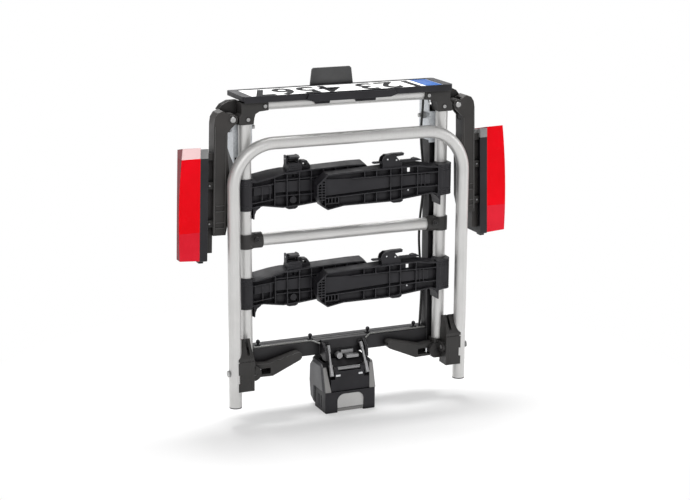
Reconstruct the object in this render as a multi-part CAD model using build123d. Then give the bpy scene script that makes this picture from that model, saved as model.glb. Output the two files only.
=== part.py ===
from build123d import *
import math
import os

# Hitch bike rack, folded up and standing on its towball coupling.
# Millimetres. X runs from left to right, Y runs away from the front, Z is up.
# The origin is on the floor, under the middle of the rack's outline.

# Clearances
running_gap = 0.06
part_gap = 0.3
seat_gap = 0.05

# U-shaped carrying bar
bar_diameter = 30.0
bar_wall = 2.0
bar_offset = 42.0
bar_y = -54.5
bar_low = 50.0
bar_top = 678.0
bar_bend = 100.0
bar_pivot_z = 133.0
bar_bolt_radius = 5.0

# Frame tubes
tube_diameter = 30.0
tube_wall = 2.0
tube_half_spacing = 254.0
tube_y = -17.5
tube_low = 136.0
tube_top = 741.0
top_cross_z = 765.0
middle_cross_z = 442.0
corner_low = 721.0

# Number plate and its holder
plate_width = 520.0
plate_height = 110.0
plate_thickness = 1.2
holder_rim = 8.0
holder_front = -49.5
holder_depth = 113.0
holder_low = 773.0
holder_top = 788.0
holder_floor = 5.0
plate_drop = 1.5
plate_lip = 22.0
plate_back_lip = 8.0

# Wheel rails
rail_upper_z = 554.0
rail_spacing = 238.0
rail_height = 76.0
sleeve_wall = 2.7
rail_wall = 3.0
right_rail_front = -62.5
right_rail_rim = -39.5
left_rail_front = -32.5
left_rail_rim = 0.5
right_rail_tip = -90.0
left_rail_tip = 58.0
rib_pitch = 31.0
buckle_hinge_rise = 20.0
strap_rise = 10.5
left_buckle_rise = 59.0
rib_thickness = 2.2

# Lamps
lamp_hinge_offset = 35.0
lamp_hinge_z = 735.0
lamp_arm_front = -36.5
lamp_arm_depth = 36.0
lamp_arm_length = 270.0
lamp_arm_outer = 45.0
lamp_reach = 59.0
lamp_lean = 1.5
lamp_front = -39.5
lamp_depth = 85.0
lamp_low = 408.0
lamp_height = 266.0
lamp_housing_depth = 19.0
lamp_top_fall = 20.0
lens_depth = 51.0
lamp_bolt_radius = 4.0

# Tilting pivot between the chassis and the platform
pivot_y = 26.0
pivot_z = 704.0
pivot_bolt_radius = 5.0
side_arm_width = 40.0
side_arm_offset = 21.0
side_arm_front = 1.5
side_arm_wall = 2.5
plate_metal = 3.0

# Cross beam
beam_low = 134.0
beam_height = 35.0
beam_front = -0.5
beam_depth = 50.0
beam_wall = 3.0

# Towball coupling
ball_radius = 25.0
ball_clearance = 0.1
ball_y = 0.5
ball_z = 62.0
coupling_back = 37.5
coupling_half_width = 63.5
cover_front = -59.5
cover_back = 8.5
cover_height = 52.5
cover_wall = 2.2
side_cover_depth = 6.0
arch_half_width = 35.0
arch_height = 46.5
lever_hinge_y = -44.0
lever_hinge_z = 107.0
lever_pin_radius = 4.5
lever_pin_half = 41.1
jaw_half_width = 22.0
shoulder_low = 113.0
shoulder_high = 127.0

# Foot pedal
pedal_shaft_y = 41.5
pedal_shaft_z = 752.0
pedal_shaft_radius = 5.0
pedal_half_width = 57.0
pedal_top = 828.0
pedal_sheet = 5.0
spring_wire = 1.6
spring_pitch = 2.6
spring_turns = 7

# Cables
cable_diameter = 6.0

tube_radius = tube_diameter / 2
bar_half_width = tube_half_spacing + bar_offset
lamp_hinge_x = tube_half_spacing + lamp_hinge_offset
side_arm_inner_x = tube_half_spacing - side_arm_offset
lock_inner_x = tube_half_spacing + tube_radius - 6
support_outer_x = lock_inner_x - part_gap
bar_radius = bar_diameter / 2
sleeve_bore = tube_radius + part_gap
sleeve_radius = sleeve_bore + sleeve_wall
rail_lower_z = rail_upper_z - rail_spacing
beam_top = beam_low + beam_height
beam_back = beam_front + beam_depth
arm_middle_x = side_arm_inner_x + side_arm_width / 2
arm_outer_x = side_arm_inner_x + side_arm_width
arm_end_radius = pivot_y - side_arm_front
socket_radius = ball_radius + ball_clearance
holder_back = holder_front + holder_depth
holder_half_width = plate_width / 2 + holder_rim
cable_radius = cable_diameter / 2


def block(x0, x1, y0, y1, z0, z1):
    """A box between two corners."""
    return Pos((x0 + x1) / 2, (y0 + y1) / 2, (z0 + z1) / 2) * Box(x1 - x0, y1 - y0, z1 - z0)


def outline_face(points, round_radius=0.0):
    """A flat face from its corner points, with its corners rounded if asked."""
    face = Polygon(*points, align=None)
    if round_radius:
        face = fillet(face.vertices(), round_radius)
    return face


def drawn_x(face, x0, x1):
    """A face in (y, z) drawn out along X."""
    return extrude(Plane.YZ.offset(x0) * face, amount=x1 - x0, dir=(1, 0, 0))


def drawn_y(face, y0, y1):
    """A face in (x, z) drawn out along Y."""
    return extrude(Plane.XZ.offset(-y0) * face, amount=y1 - y0, dir=(0, 1, 0))


def drawn_z(face, z0, z1):
    """A face in (x, y) drawn out along Z."""
    return extrude(Plane.XY.offset(z0) * face, amount=z1 - z0, dir=(0, 0, 1))


def prism_x(points, x0, x1, round_radius=0.0):
    """An outline of (y, z) points drawn out along X."""
    return drawn_x(outline_face(points, round_radius), x0, x1)


def prism_y(points, y0, y1, round_radius=0.0):
    """An outline of (x, z) points drawn out along Y."""
    return drawn_y(outline_face(points, round_radius), y0, y1)


def prism_z(points, z0, z1, round_radius=0.0):
    """An outline of (x, y) points drawn out along Z."""
    return drawn_z(outline_face(points, round_radius), z0, z1)


def drawn_in(points, wall):
    """The corner points of an outline that runs anticlockwise, moved inwards by a wall."""
    moved = []
    for index, here in enumerate(points):
        before = Vector(*points[index - 1])
        after = Vector(*points[(index + 1) % len(points)])
        here = Vector(*here)
        run_in = (here - before).normalized()
        run_out = (after - here).normalized()
        first = Vector(-run_in.Y, run_in.X)
        second = Vector(-run_out.Y, run_out.X)
        corner = here + (first + second) * (wall / (1 + first.dot(second)))
        moved.append((corner.X, corner.Y))
    return moved


def flared(front_points, rim_points, front, rim, past=0.0):
    """A body with one outline of (x, z) points at its front and another at its rim."""
    sections = []
    for share, y in ((-past / (rim - front), front - past), (1 + past / (rim - front), rim + past)):
        points = [(a[0] + (b[0] - a[0]) * share, a[1] + (b[1] - a[1]) * share)
                  for a, b in zip(front_points, rim_points)]
        sections.append(Plane.XZ.offset(-y) * outline_face(points))
    return loft(sections, ruled=True)


def bar_x(x0, x1, y, z, radius):
    """A round bar along X."""
    return Pos((x0 + x1) / 2, y, z) * Rot(0, 90, 0) * Cylinder(radius, x1 - x0)


def bar_along_y(x, y0, y1, z, radius):
    """A round bar along Y."""
    return Pos(x, (y0 + y1) / 2, z) * Rot(90, 0, 0) * Cylinder(radius, y1 - y0)


def bar_z(x, y, z0, z1, radius):
    """A round bar along Z."""
    return Pos(x, y, (z0 + z1) / 2) * Cylinder(radius, z1 - z0)


def bar_between(start, end, radius):
    """A round bar between two points."""
    start = Vector(*start)
    end = Vector(*end)
    plane = Plane(origin=start, z_dir=end - start)
    return extrude(plane * Circle(radius), amount=(end - start).length)


def mirrored(shape):
    """The same shape on the other side of the rack."""
    return mirror(shape, about=Plane.YZ)


def both_sides(shape):
    """The shape and its mirror image, as two separate solids."""
    return Compound(children=[shape, mirrored(shape)])


def group(shapes):
    """Separate solids kept together in one node."""
    return Compound(children=list(shapes))


# Platform frame

def side_tube():
    """The right-hand long tube of the platform."""
    outside = bar_z(tube_half_spacing, tube_y, tube_low, tube_top, tube_radius)
    inside = bar_z(tube_half_spacing, tube_y, tube_low - 1, tube_top + 1, tube_radius - tube_wall)
    return outside - inside


def top_cross_reach():
    """Half the length of the tube under the plate holder."""
    return tube_half_spacing - 8


def top_cross_tube():
    """The tube under the plate holder, pushed into both corner brackets."""
    reach = top_cross_reach()
    outside = bar_x(-reach, reach, tube_y, top_cross_z, tube_radius)
    return outside - bar_x(-reach - 1, reach + 1, tube_y, top_cross_z, tube_radius - tube_wall)


def middle_cross_tube():
    """The tube between the rails, its ends held in the tee clamps."""
    reach = tube_half_spacing - tube_radius - 4
    outside = bar_x(-reach, reach, tube_y, middle_cross_z, tube_radius)
    return outside - bar_x(-reach - 1, reach + 1, tube_y, middle_cross_z, tube_radius - tube_wall)


def tee_clamp():
    """The right-hand clamp that joins the middle cross tube to the side tube."""
    wall = 4.0
    length = 34.0
    ring = bar_z(tube_half_spacing, tube_y, middle_cross_z - length / 2, middle_cross_z + length / 2,
                 tube_radius + wall)
    inner = tube_half_spacing - tube_radius - 24
    collar = bar_x(inner, tube_half_spacing, tube_y, middle_cross_z, tube_radius + wall)
    boss = bar_along_y(tube_half_spacing - 22, tube_y - tube_radius - wall - 5, tube_y - 8,
                       middle_cross_z + 5, 7)
    body = ring + collar + boss
    body -= bar_z(tube_half_spacing, tube_y, middle_cross_z - 40, middle_cross_z + 40,
                  tube_radius + seat_gap)
    return body - bar_x(inner - 1, tube_half_spacing - tube_radius - 3, tube_y, middle_cross_z,
                        tube_radius + seat_gap)


def corner_bracket():
    """The right-hand corner: it holds both tubes and carries the lamp arm's hinge lug."""
    front = tube_y - 20
    back = tube_y + 19.5
    x = tube_half_spacing
    high = plate_seat() - holder_floor - part_gap
    inside = holder_half_width - 10 - part_gap
    outline = [
        (x + 18, corner_low), (x + 20, corner_low + 4), (x + 20, tube_top - 2), (x + 14, tube_top + 6),
        (x + 14, holder_low - part_gap), (inside, holder_low - part_gap), (inside, high),
        (x - 53, high), (x - 53, top_cross_z - 13), (x - 30, top_cross_z - 15),
        (x - 21, top_cross_z - 20), (x - 18, top_cross_z - 29), (x - 16, corner_low),
    ]
    body = prism_y(outline, front, back)
    body = fillet(body.edges().group_by(Axis.Y)[0].filter_by(GeomType.LINE), 1.5)
    lug_front, lug_back = lamp_lug_span()
    lug = bar_along_y(lamp_hinge_x, lug_front, lug_back, lamp_hinge_z, 13)
    lug += block(x + 17, lamp_hinge_x, lug_front, lug_back, lamp_hinge_z - 13, tube_top - 1)
    body += lug + hinge_cover(back)
    body -= bar_z(x, tube_y, corner_low - 1, tube_top + seat_gap, tube_radius + seat_gap)
    body -= bar_x(x - 80, top_cross_reach() + seat_gap, tube_y, top_cross_z, tube_radius + seat_gap)
    body -= bar_along_y(lamp_hinge_x, front - 1, back + 30, lamp_hinge_z, lamp_bolt_radius + seat_gap)
    return body


def hinge_cover(back):
    """The ribbed cover that reaches out over the lamp hinge, behind the lamp arm."""
    x = tube_half_spacing
    high = holder_low - part_gap
    outline = [
        (x + 8, high), (x + 8, high - 11), (x + 27, high - 12), (x + 41, high - 17), (x + 51, high - 24),
        (x + 57, high - 19), (x + 48, high - 8), (x + 31, high),
    ]
    cover = prism_y(outline, back - 2, back + 20)
    cover += prism_y(
        [(x + 12, high - 6), (x + 12, lamp_hinge_z - 6), (x + 26, lamp_hinge_z - 6),
         (x + 26, lamp_hinge_z + 6), (x + 30, lamp_hinge_z + 10), (x + 41, lamp_hinge_z + 10),
         (x + 51, high - 22), (x + 41, high - 12), (x + 31, high - 6)],
        back - 2, back + 1.7)
    for count in range(4):
        rib_x = x + 24 + 7 * count
        cover += block(rib_x, rib_x + 2, back + 4, back + 20, high - 13 - 1.6 * count, high - 4 * count - 1)
    for count in range(3):
        y = back + 3 + 6 * count
        cover -= prism_y([(x + 22, high - 2), (x + 22, high + 2), (x + 70, high + 2), (x + 70, high - 22),
                          (x + 54, high - 18), (x + 46, high - 10), (x + 31, high - 2)],
                         y, y + 3)
    return cover


def lamp_lug_span():
    """Front and back of the bracket's lug, between the two ears of the lamp arm."""
    ear = 6.0
    return (lamp_arm_front + ear + part_gap, lamp_arm_front + lamp_arm_depth - ear - part_gap)


def bracket_screws():
    """The socket screws in the fronts of the corner brackets."""
    front = tube_y - 20
    places = [(tube_half_spacing - 44, top_cross_z - 3), (tube_half_spacing - 2, tube_top - 8)]
    screws = []
    for x, z in places:
        head = bar_along_y(x, front - 2.2, front - 0.02, z, 4.2)
        head -= bar_along_y(x, front - 3, front - 1.2, z, 1.8)
        screws.append(head)
        screws.append(mirrored(head))
    return group(screws)


def pivot_plate():
    """The right-hand galvanised channel that hangs the platform on the chassis."""
    inner = side_arm_inner_x - part_gap - plate_metal
    outer = arm_outer_x + part_gap + plate_metal
    face_y = tube_y + tube_radius
    web_back = face_y + 2.5
    web_high = corner_low - 4.5
    tall = [
        (face_y, pivot_z - 59), (pivot_y + 24, pivot_z - 59), (pivot_y + 28, pivot_z - 52),
        (pivot_y + 28, pedal_shaft_z + 13), (pivot_y + 2, pedal_shaft_z + 13),
        (4, corner_low + 16), (4, web_high), (face_y, web_high),
    ]
    low = [
        (face_y, pivot_z - 79), (pivot_y - 6, pivot_z - 64), (pivot_y + 24, pivot_z - 36),
        (pivot_y + 24, pivot_z + 32), (4, pivot_z + 32), (4, web_high), (face_y, web_high),
    ]
    channel = block(inner, outer, face_y, web_back, pivot_z - 64, web_high)
    channel += prism_x(tall, inner, inner + plate_metal)
    channel += prism_x(low, outer - plate_metal, outer)
    hole = bar_x(inner - 1, outer + 1, pivot_y, pivot_z, pivot_bolt_radius + seat_gap)
    shaft_hole = bar_x(inner - 1, inner + plate_metal + 1, pedal_shaft_y, pedal_shaft_z,
                       pedal_shaft_radius + running_gap)
    return channel - hole - shaft_hole


def pivot_bolt():
    """The right-hand tilting pivot bolt with its head outside and its nut inside."""
    inner = side_arm_inner_x - part_gap - plate_metal
    outer = arm_outer_x + part_gap + plate_metal
    shank = bar_x(inner - 16, outer, pivot_y, pivot_z, pivot_bolt_radius)
    hexagon = Pos(pivot_y, pivot_z) * RegularPolygon(9, 6)
    return shank + drawn_x(hexagon, outer, outer + 6) + drawn_x(hexagon, inner - 8, inner)


def side_bracket():
    """The right-hand support: it takes the tube end, the bar's pivot and rests on the beam."""
    x = tube_half_spacing
    inner = x - tube_radius - 3
    back = beam_front - part_gap
    knuckle_z = tube_low - 17
    socket = block(inner, support_outer_x, tube_y - tube_radius - 3.5, back, tube_low - 36, tube_low + 12)
    socket = fillet(socket.edges().filter_by(Axis.Z).group_by(Axis.Y)[0], 5)
    knuckle = bar_along_y(x - 12, bar_y + 16, back, knuckle_z, 18)
    ear = bar_x(x - 8, support_outer_x, bar_y, bar_pivot_z, 12)
    ear += block(x - 8, support_outer_x, bar_y, tube_y - tube_radius, bar_pivot_z - 12, bar_pivot_z + 12)
    arm = prism_y(
        [(inner + 3, tube_low - 31), (x - 64, tube_low - 32), (x - 135, tube_low - 1),
         (x - 140, tube_low + 5), (x - 140, tube_low + 14), (x - 134, tube_low + 19),
         (x - 126, tube_low + 18), (x - 52, tube_low), (inner + 3, tube_low + 2)],
        tube_y - 10, back)
    arm = fillet(arm.edges().group_by(Axis.Y)[0], 2.0)
    body = socket + knuckle + ear + arm + front_plate()
    body -= block(x - 58, x - 24, tube_y - 11, back - 2.5, knuckle_z - 8, knuckle_z + 7)
    body += bar_z(x - 32, tube_y - 4, knuckle_z - 9, knuckle_z + 8, 3)
    body -= bar_z(x, tube_y, tube_low - seat_gap, tube_low + 90, tube_radius + seat_gap)
    return body - bar_x(bar_bolt_inner(), x + 90, bar_y, bar_pivot_z, bar_bolt_radius + seat_gap)


def front_plate():
    """The support's upright plate beside the bar's lock, narrower above its shoulder."""
    inner = support_outer_x - 9.5
    front = bar_y - bar_radius
    z = bar_pivot_z
    back = tube_y - tube_radius - seat_gap
    side = prism_x(
        [(front, z - 45), (back, z - 45), (back, z + 74), (bar_y + 8, z + 79), (front + 3, z + 42),
         (front, z + 36)],
        inner, support_outer_x)
    face = prism_y(
        [(inner, z - 45), (support_outer_x, z - 45), (support_outer_x, z + 80), (inner + 3, z + 80),
         (inner + 3, z + 58), (inner, z + 31)],
        front - 1, back + 1)
    plate = side & face
    return plate - block(inner - 1, support_outer_x + 1, front - 1, front + 1.2, z + 27, z + 29.5)


def bar_bolt_inner():
    """The inner end of the bar's pivot bolt, inside the side support's ear."""
    return support_outer_x - 16.7


def holder():
    """The tray that frames the number plate, with its deeper front lip."""
    half = holder_half_width
    body = holder_room(half)
    seat = plate_seat()
    body -= block(-half + 10, half - 10, holder_front + 8, holder_back - 4,
                  holder_low, seat - holder_floor)
    body += block(-half + 4, half - 4, holder_front, holder_front + 5, holder_low, holder_top - 2)
    body += prism_y(
        [(-112, holder_low), (-96, holder_low - 5), (102, holder_low - 5), (118, holder_low),
         (112, holder_top - 3), (-106, holder_top - 3)],
        holder_front - 4, holder_front + 4)
    body -= block(-plate_width / 2 - part_gap, plate_width / 2 + part_gap,
                  plate_front() - part_gap, plate_front() + plate_height + part_gap,
                  seat, holder_top + 1)
    lip_low = seat + plate_thickness + part_gap
    lips = block(plate_lip - half, half - plate_lip, holder_back - plate_back_lip, holder_back,
                 lip_low, holder_top)
    for side in (-1, 1):
        x0, x1 = sorted((side * (half - plate_lip), side * (half - 3)))
        lips += block(x0, x1, plate_front() - 3, holder_back, lip_low, holder_top)
    return body + (lips & holder_room(half))


def holder_room(half):
    """The holder's outline in plan, with its cut corners."""
    room = block(-half, half, holder_front, holder_back, holder_low + 4, holder_top)
    return chamfer(room.edges().filter_by(Axis.Z), 5)


def plate_seat():
    """The height of the floor that the number plate lies on."""
    return holder_top - plate_drop - plate_thickness


def plate_front():
    """Where the number plate's front edge lies in its holder."""
    return holder_front + (holder_depth - plate_height) / 2 + 0.5


def number_plate():
    """The flat aluminium number plate, lying in the holder."""
    seat = plate_seat()
    front = plate_front()
    plate = block(-plate_width / 2, plate_width / 2, front, front + plate_height,
                  seat, seat + plate_thickness)
    return fillet(plate.edges().filter_by(Axis.Z), 6)


def plate_lights():
    """Two small lamps under the front lip of the holder."""
    lights = []
    top = plate_seat() - holder_floor
    for x0, x1 in [(-90, -46), (14, 72)]:
        front = holder_front + 9
        lights.append(prism_y(
            [(x0, top), (x0 + 4, holder_low - 13), (x1 - 4, holder_low - 13), (x1, top)],
            front, front + 5.5))
    return group(lights)


# Carrying bar

def bar_path():
    """The centre line of the U-shaped bar."""
    left = -bar_half_width
    right = bar_half_width
    return FilletPolyline(
        (left, bar_y, bar_low), (left, bar_y, bar_top), (right, bar_y, bar_top),
        (right, bar_y, bar_low), radius=bar_bend)


def u_bar():
    """The bent tube that the bike holders clamp to."""
    start = Plane(origin=(-bar_half_width, bar_y, bar_low), z_dir=(0, 0, 1))
    path = bar_path()
    tube = sweep(start * Circle(bar_radius), path=path)
    tube -= sweep(start * Circle(bar_radius - bar_wall), path=path)
    for side in (-1, 1):
        x0 = side * (bar_half_width - bar_radius - 2)
        x1 = side * (bar_half_width + bar_radius + 2)
        tube -= bar_x(min(x0, x1), max(x0, x1), bar_y, bar_pivot_z, bar_bolt_radius + running_gap)
    return tube


def bar_end_caps():
    """Plastic plugs in the lower ends of the bar."""
    flange = bar_z(bar_half_width, bar_y, bar_low - 2.5, bar_low - 0.02, bar_radius)
    plug = bar_z(bar_half_width, bar_y, bar_low - 1, bar_low + 14, bar_radius - bar_wall - seat_gap)
    return both_sides(flange + plug)


def bar_lock():
    """The right-hand moulded block that turns with the bar's leg and locks it upright."""
    beside_tube = tube_half_spacing + tube_radius + part_gap
    outer = bar_half_width - 3
    front = bar_y - bar_radius
    z = bar_pivot_z
    wide = [
        (front, z - 45), (bar_y + 20, z - 45), (bar_y + 32, z - 30), (bar_y + 32, z + 17),
        (bar_y + 25, z + 72), (bar_y + 8, z + 79), (front + 3, z + 42), (front, z + 36),
    ]
    narrow = [
        (front, z - 45), (bar_y - 0.5, z - 45), (bar_y - 0.5, z - 24), (bar_y + 10, z - 21.5),
        (bar_y + 20, z - 13), (bar_y + 20, z + 50), (bar_y + 12, z + 56), (front + 3, z + 42),
        (front, z + 36),
    ]
    body = prism_x(wide, beside_tube, outer) + prism_x(narrow, lock_inner_x, beside_tube + 0.1)
    body -= block(outer - 5, outer + 1, front - 1, front + 10, z - 24, z - 3)
    body -= block(lock_inner_x - 1, outer + 1, front - 1, front + 1.2, z + 27, z + 29.5)
    body -= bar_z(bar_half_width, bar_y, z - 60, z + 90, bar_radius + seat_gap)
    return body - bar_x(lock_inner_x - 1, outer + 1, bar_y, z, bar_bolt_radius + running_gap)


def bar_bolt():
    """The right-hand pivot bolt, pressed into the side support."""
    outer = bar_half_width + bar_radius + part_gap
    shank = bar_x(bar_bolt_inner(), outer, bar_y, bar_pivot_z, bar_bolt_radius)
    return shank + bar_x(outer, outer + 3.5, bar_y, bar_pivot_z, 8)


# Wheel rails

def sleeve(x, z):
    """The plain bearing of a rail round its side tube."""
    half = rail_height / 2
    body = bar_z(x, tube_y, z - half, z + half, sleeve_radius)
    for groove in (z - half + 7, z - half + 12, z + half - 17, z + half - 12, z + half - 7):
        body -= bar_z(x, tube_y, groove - 0.9, groove + 0.9, sleeve_radius + 1) \
            - bar_z(x, tube_y, groove - 2, groove + 2, sleeve_radius - 0.8)
    return body


def tray(front_outline, rim_outline, front, rim, floor_y, ribs):
    """An open channel with ribs in its front and a trough for the tyre behind."""
    body = flared(front_outline, rim_outline, front, rim)
    inside = flared(drawn_in(front_outline, rail_wall), drawn_in(rim_outline, rail_wall), front, rim, 1.0)
    reach = bar_half_width
    body -= inside & block(-reach, reach, front - 2, floor_y, 0, holder_top)
    body -= inside & block(-reach, reach, floor_y + rail_wall, rim + 2, 0, holder_top)
    for rib in ribs:
        body += inside & rib
    return body


def upright_rib(x, low, high, front, floor_y):
    """A thin rib across a rail."""
    return block(x - rib_thickness / 2, x + rib_thickness / 2, front + 0.5, floor_y + 1, low, high)


def long_rib(points, front, floor_y):
    """A thin rib along a rail, through (x, z) points."""
    half = rib_thickness / 2
    lower = [(x, z - half) for x, z in points]
    upper = [(x, z + half) for x, z in reversed(points)]
    return prism_y(lower + upper, front + 0.5, floor_y + 1)


def right_rail(z):
    """A right-hand half rail, the outer one of a folded pair, seen from underneath."""
    x = tube_half_spacing
    tip = right_rail_tip
    front = right_rail_front
    rim = right_rail_rim
    floor_y = front + 9
    low = [
        (tip, z - 12), (tip + 9, z - 32), (tip + 27, z - 45), (tip + 68, z - 38), (x - 153, z - 38),
        (x - 84, z - 31), (x - 44, z - 27), (x - 24, z - 33),
    ]
    front_outline = low + [
        (x - 24, z + 38), (x - 50, z + 40), (x - 80, z + 45), (x - 146, z + 44), (tip + 109, z + 43),
        (tip + 27, z + 40), (tip, z + 16),
    ]
    rim_outline = low + [
        (x - 24, z + 42), (x - 50, z + 46), (x - 80, z + 52), (x - 146, z + 52), (tip + 109, z + 47),
        (tip + 25, z + 44), (tip, z + 24),
    ]
    panel = [
        (tip + 21, z + 28), (tip + 21, z - 11), (x - 159, z - 3), (x - 49, z - 2), (x - 49, z + 20),
        (x - 154, z + 22),
    ]
    ribs = [
        prism_y(panel, front + 4, floor_y + 1),
        long_rib([(tip + 90, z + 26), (x - 28, z + 25)], front, floor_y),
        long_rib([(tip + 21, z - 16), (x - 156, z - 11), (x - 83, z - 8), (x - 28, z - 9)], front, floor_y),
        upright_rib(tip + 21, z - 60, z + 60, front, floor_y),
        upright_rib(tip + 12, z - 26, z + 31, front, floor_y),
        long_rib([(tip + 21, z - 30), (tip + 56, z - 30)], front, floor_y),
    ]
    for count in range(8):
        rung = z - 20 + 6.5 * count
        ribs.append(long_rib([(tip, rung), (tip + 21, rung)], front, floor_y))
    for count in range(4):
        ribs.append(upright_rib(tip + 29 + 8.5 * count, z - 30, z - 15, front, floor_y))
    for rib_x in (x - 222, x - 191):
        ribs.append(upright_rib(rib_x, z + 25, z + 60, front, floor_y))
        ribs.append(upright_rib(rib_x, z - 60, z - 12, front, floor_y))
    for rib_x in (x - 154, x - 125, x - 83):
        ribs.append(upright_rib(rib_x, z - 60, z + 60, front, floor_y))
    for rib_x in (x - 72, x - 62):
        ribs.append(upright_rib(rib_x, z - 9, z + 25, front + 2, floor_y))
    body = tray(front_outline, rim_outline, front, rim, floor_y, ribs)
    body += barrel(z)
    body += sleeve(x, z)
    body += strap_ears(x - 150, x - 116, front + 9, rim, z)
    body += buckle_base(x, z)
    body += hook_tab(x, -1, front + 10, z)
    body -= block(x - 107, x - 99, floor_y - 1, floor_y + rail_wall + 1, z + 29, z + 41)
    body -= strap_room(x - 138, rim, z)
    return body - bar_z(x, tube_y, z - 80, z + 80, sleeve_bore)


def barrel(z):
    """A right-hand rail's round neck over the front of its bearing, grooved at both ends."""
    low = z - rail_height / 2 + 4
    high = z + rail_height / 2 + 4
    body = drawn_z(neck_outline(0), low, high)
    for groove in (low + 5, low + 10, low + 15, high - 17, high - 12, high - 7):
        ring = drawn_z(neck_outline(-1), groove, groove + 2)
        body -= ring - drawn_z(neck_outline(1.2), groove - 1, groove + 3)
    return body


def neck_outline(inset):
    """The outline in plan of a right-hand rail's neck, drawn in at its front and outer side."""
    x = tube_half_spacing
    front = right_rail_front + inset
    outer = x + 17 - inset
    round_front = tube_y - 39 + inset
    face = Polygon((x - 28, front), (x - 18, front), (x - 7, round_front), (outer, round_front),
                   (outer, tube_y), (x - 14, tube_y + 8), (x - 20, right_rail_rim),
                   (x - 28, right_rail_rim), align=None)
    corners = face.vertices().filter_by(lambda corner: corner.X > x and corner.Y < tube_y - 20)
    return fillet(corners, 20)


def left_rail(z):
    """A left-hand half rail, the inner one of a folded pair, seen from underneath."""
    x = -tube_half_spacing
    tip = left_rail_tip
    front = left_rail_front
    rim = left_rail_rim
    floor_y = front + 10
    low = [
        (x + 8, z - 33), (x + 39, z - 29), (x + 89, z - 37), (x + 132, z - 35), (x + 174, z - 31),
        (tip - 18, z - 33), (tip, z - 22),
    ]
    front_outline = low + [
        (tip, z + 41), (tip - 12, z + 52), (tip - 48, z + 53), (x + 178, z + 51), (x + 132, z + 49),
        (x + 92, z + 46), (x + 62, z + 38), (x + 22, z + 31), (x + 8, z + 33),
    ]
    rim_outline = low + [
        (tip, z + 48), (tip - 12, z + 58), (tip - 48, z + 58), (x + 178, z + 55), (x + 132, z + 53),
        (x + 92, z + 54), (x + 62, z + 51), (x + 22, z + 44), (x + 8, z + 44),
    ]
    wide_panel = [(x + 69, z + 24), (x + 69, z + 1), (tip - 30, z - 4), (tip - 30, z + 26)]
    neck_panel = [(x + 18, z + 15), (x + 18, z - 3), (x + 63, z - 1), (x + 63, z + 19)]
    ribs = [
        prism_y(wide_panel, front + 4, floor_y + 1),
        prism_y(neck_panel, front + 4, floor_y + 1),
        long_rib([(x + 8, z + 17), (x + 22, z + 18), (x + 66, z + 22)], front, floor_y),
        long_rib([(x + 8, z - 21), (x + 22, z - 20), (x + 66, z - 15)], front, floor_y),
        long_rib([(x + 68, z + 29), (tip - 4, z + 31)], front + 2, floor_y),
        long_rib([(x + 68, z - 8), (tip - 4, z - 12)], front + 2, floor_y),
        bar_along_y(x + 116, front + 2, floor_y + 1, z - 20, 8),
    ]
    for rib_x in (x + 38, x + 58):
        ribs.append(upright_rib(rib_x, z - 19, z + 20, front + 2, floor_y))
    count = 0
    while x + 69 + rib_pitch * count < tip - 10:
        ribs.append(upright_rib(x + 69 + rib_pitch * count, z - 60, z + 60, front, floor_y))
        count += 1
    body = tray(front_outline, rim_outline, front, rim, floor_y, ribs)
    body += sleeve(x, z)
    body += strap_ears(x + 100, x + 132, front + 10, rim, z)
    body += left_buckle_base(z)
    body += hook_tab(x, 1, front + 2, z)
    body -= block(x + 115, x + 122, floor_y - 1, floor_y + rail_wall + 1, z + 31, z + 43)
    body -= strap_room(x + 120, rim, z)
    return body - bar_z(x, tube_y, z - 80, z + 80, sleeve_bore)


def hook_tab(x, side, front, z):
    """The hook under a rail's bearing, curving up into the rail's lower edge."""
    low = z - rail_height / 2
    outline = [
        (sleeve_bore + 0.3, low + 4), (sleeve_bore + 0.3, low - 21), (sleeve_bore + 3, low - 21),
        (sleeve_bore + 4, low - 10), (sleeve_bore + 8, low - 1), (sleeve_bore + 18, low + 6),
        (sleeve_bore + 18, low + 10),
    ]
    return prism_y([(x + side * reach, height) for reach, height in outline], front, tube_y + 6)


def strap_ears(x0, x1, y0, y1, z):
    """The rounded ear under the rail's lower edge that holds the fixed strap end."""
    low = z - 44
    return prism_y([(x0, low + 10), (x0 + 3, low + 2), (x0 + 8, low), (x1 - 8, low), (x1 - 2, low + 3),
                    (x1, low + 10)],
                   y0, y1)


def strap_room(x, rim, z):
    """The space that the strap takes through both edges of a rail."""
    half = strap_half_width() + part_gap
    return block(x - half, x + half, rim - 7 - part_gap, rim - 4 + part_gap, z - 40, z + 110)


def strap_half_width():
    """Half the width of a wheel strap."""
    return 10.0


def buckle_base(tube_x, z):
    """The buckle on the upper edge of a right-hand rail: its foot and two side plates."""
    x = tube_x - 162
    y0 = right_rail_front + 3
    y1 = right_rail_rim
    base = block(x - 12, x + 38, y0, y1, z + 41, z + 45 + strap_rise - 0.1)
    side = [
        (x - 10, z + 50), (x + 34, z + 50), (x + 32, z + 60), (x + 19, z + 75), (x - 2, z + 75),
        (x - 11, z + 69), (x - 14, z + 60),
    ]
    plates = prism_y(side, y0, y0 + 3) + prism_y(side, y1 - 3, y1)
    hinge_z = z + 45 + buckle_hinge_rise
    plates -= bar_along_y(x, y0 - 1, y1 + 1, hinge_z, 2.5 + running_gap)
    cross_pin = bar_along_y(x + 23, y0 - 0.8, y1 + 0.8, hinge_z - 3, 2.2)
    return base + plates + cross_pin


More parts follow.
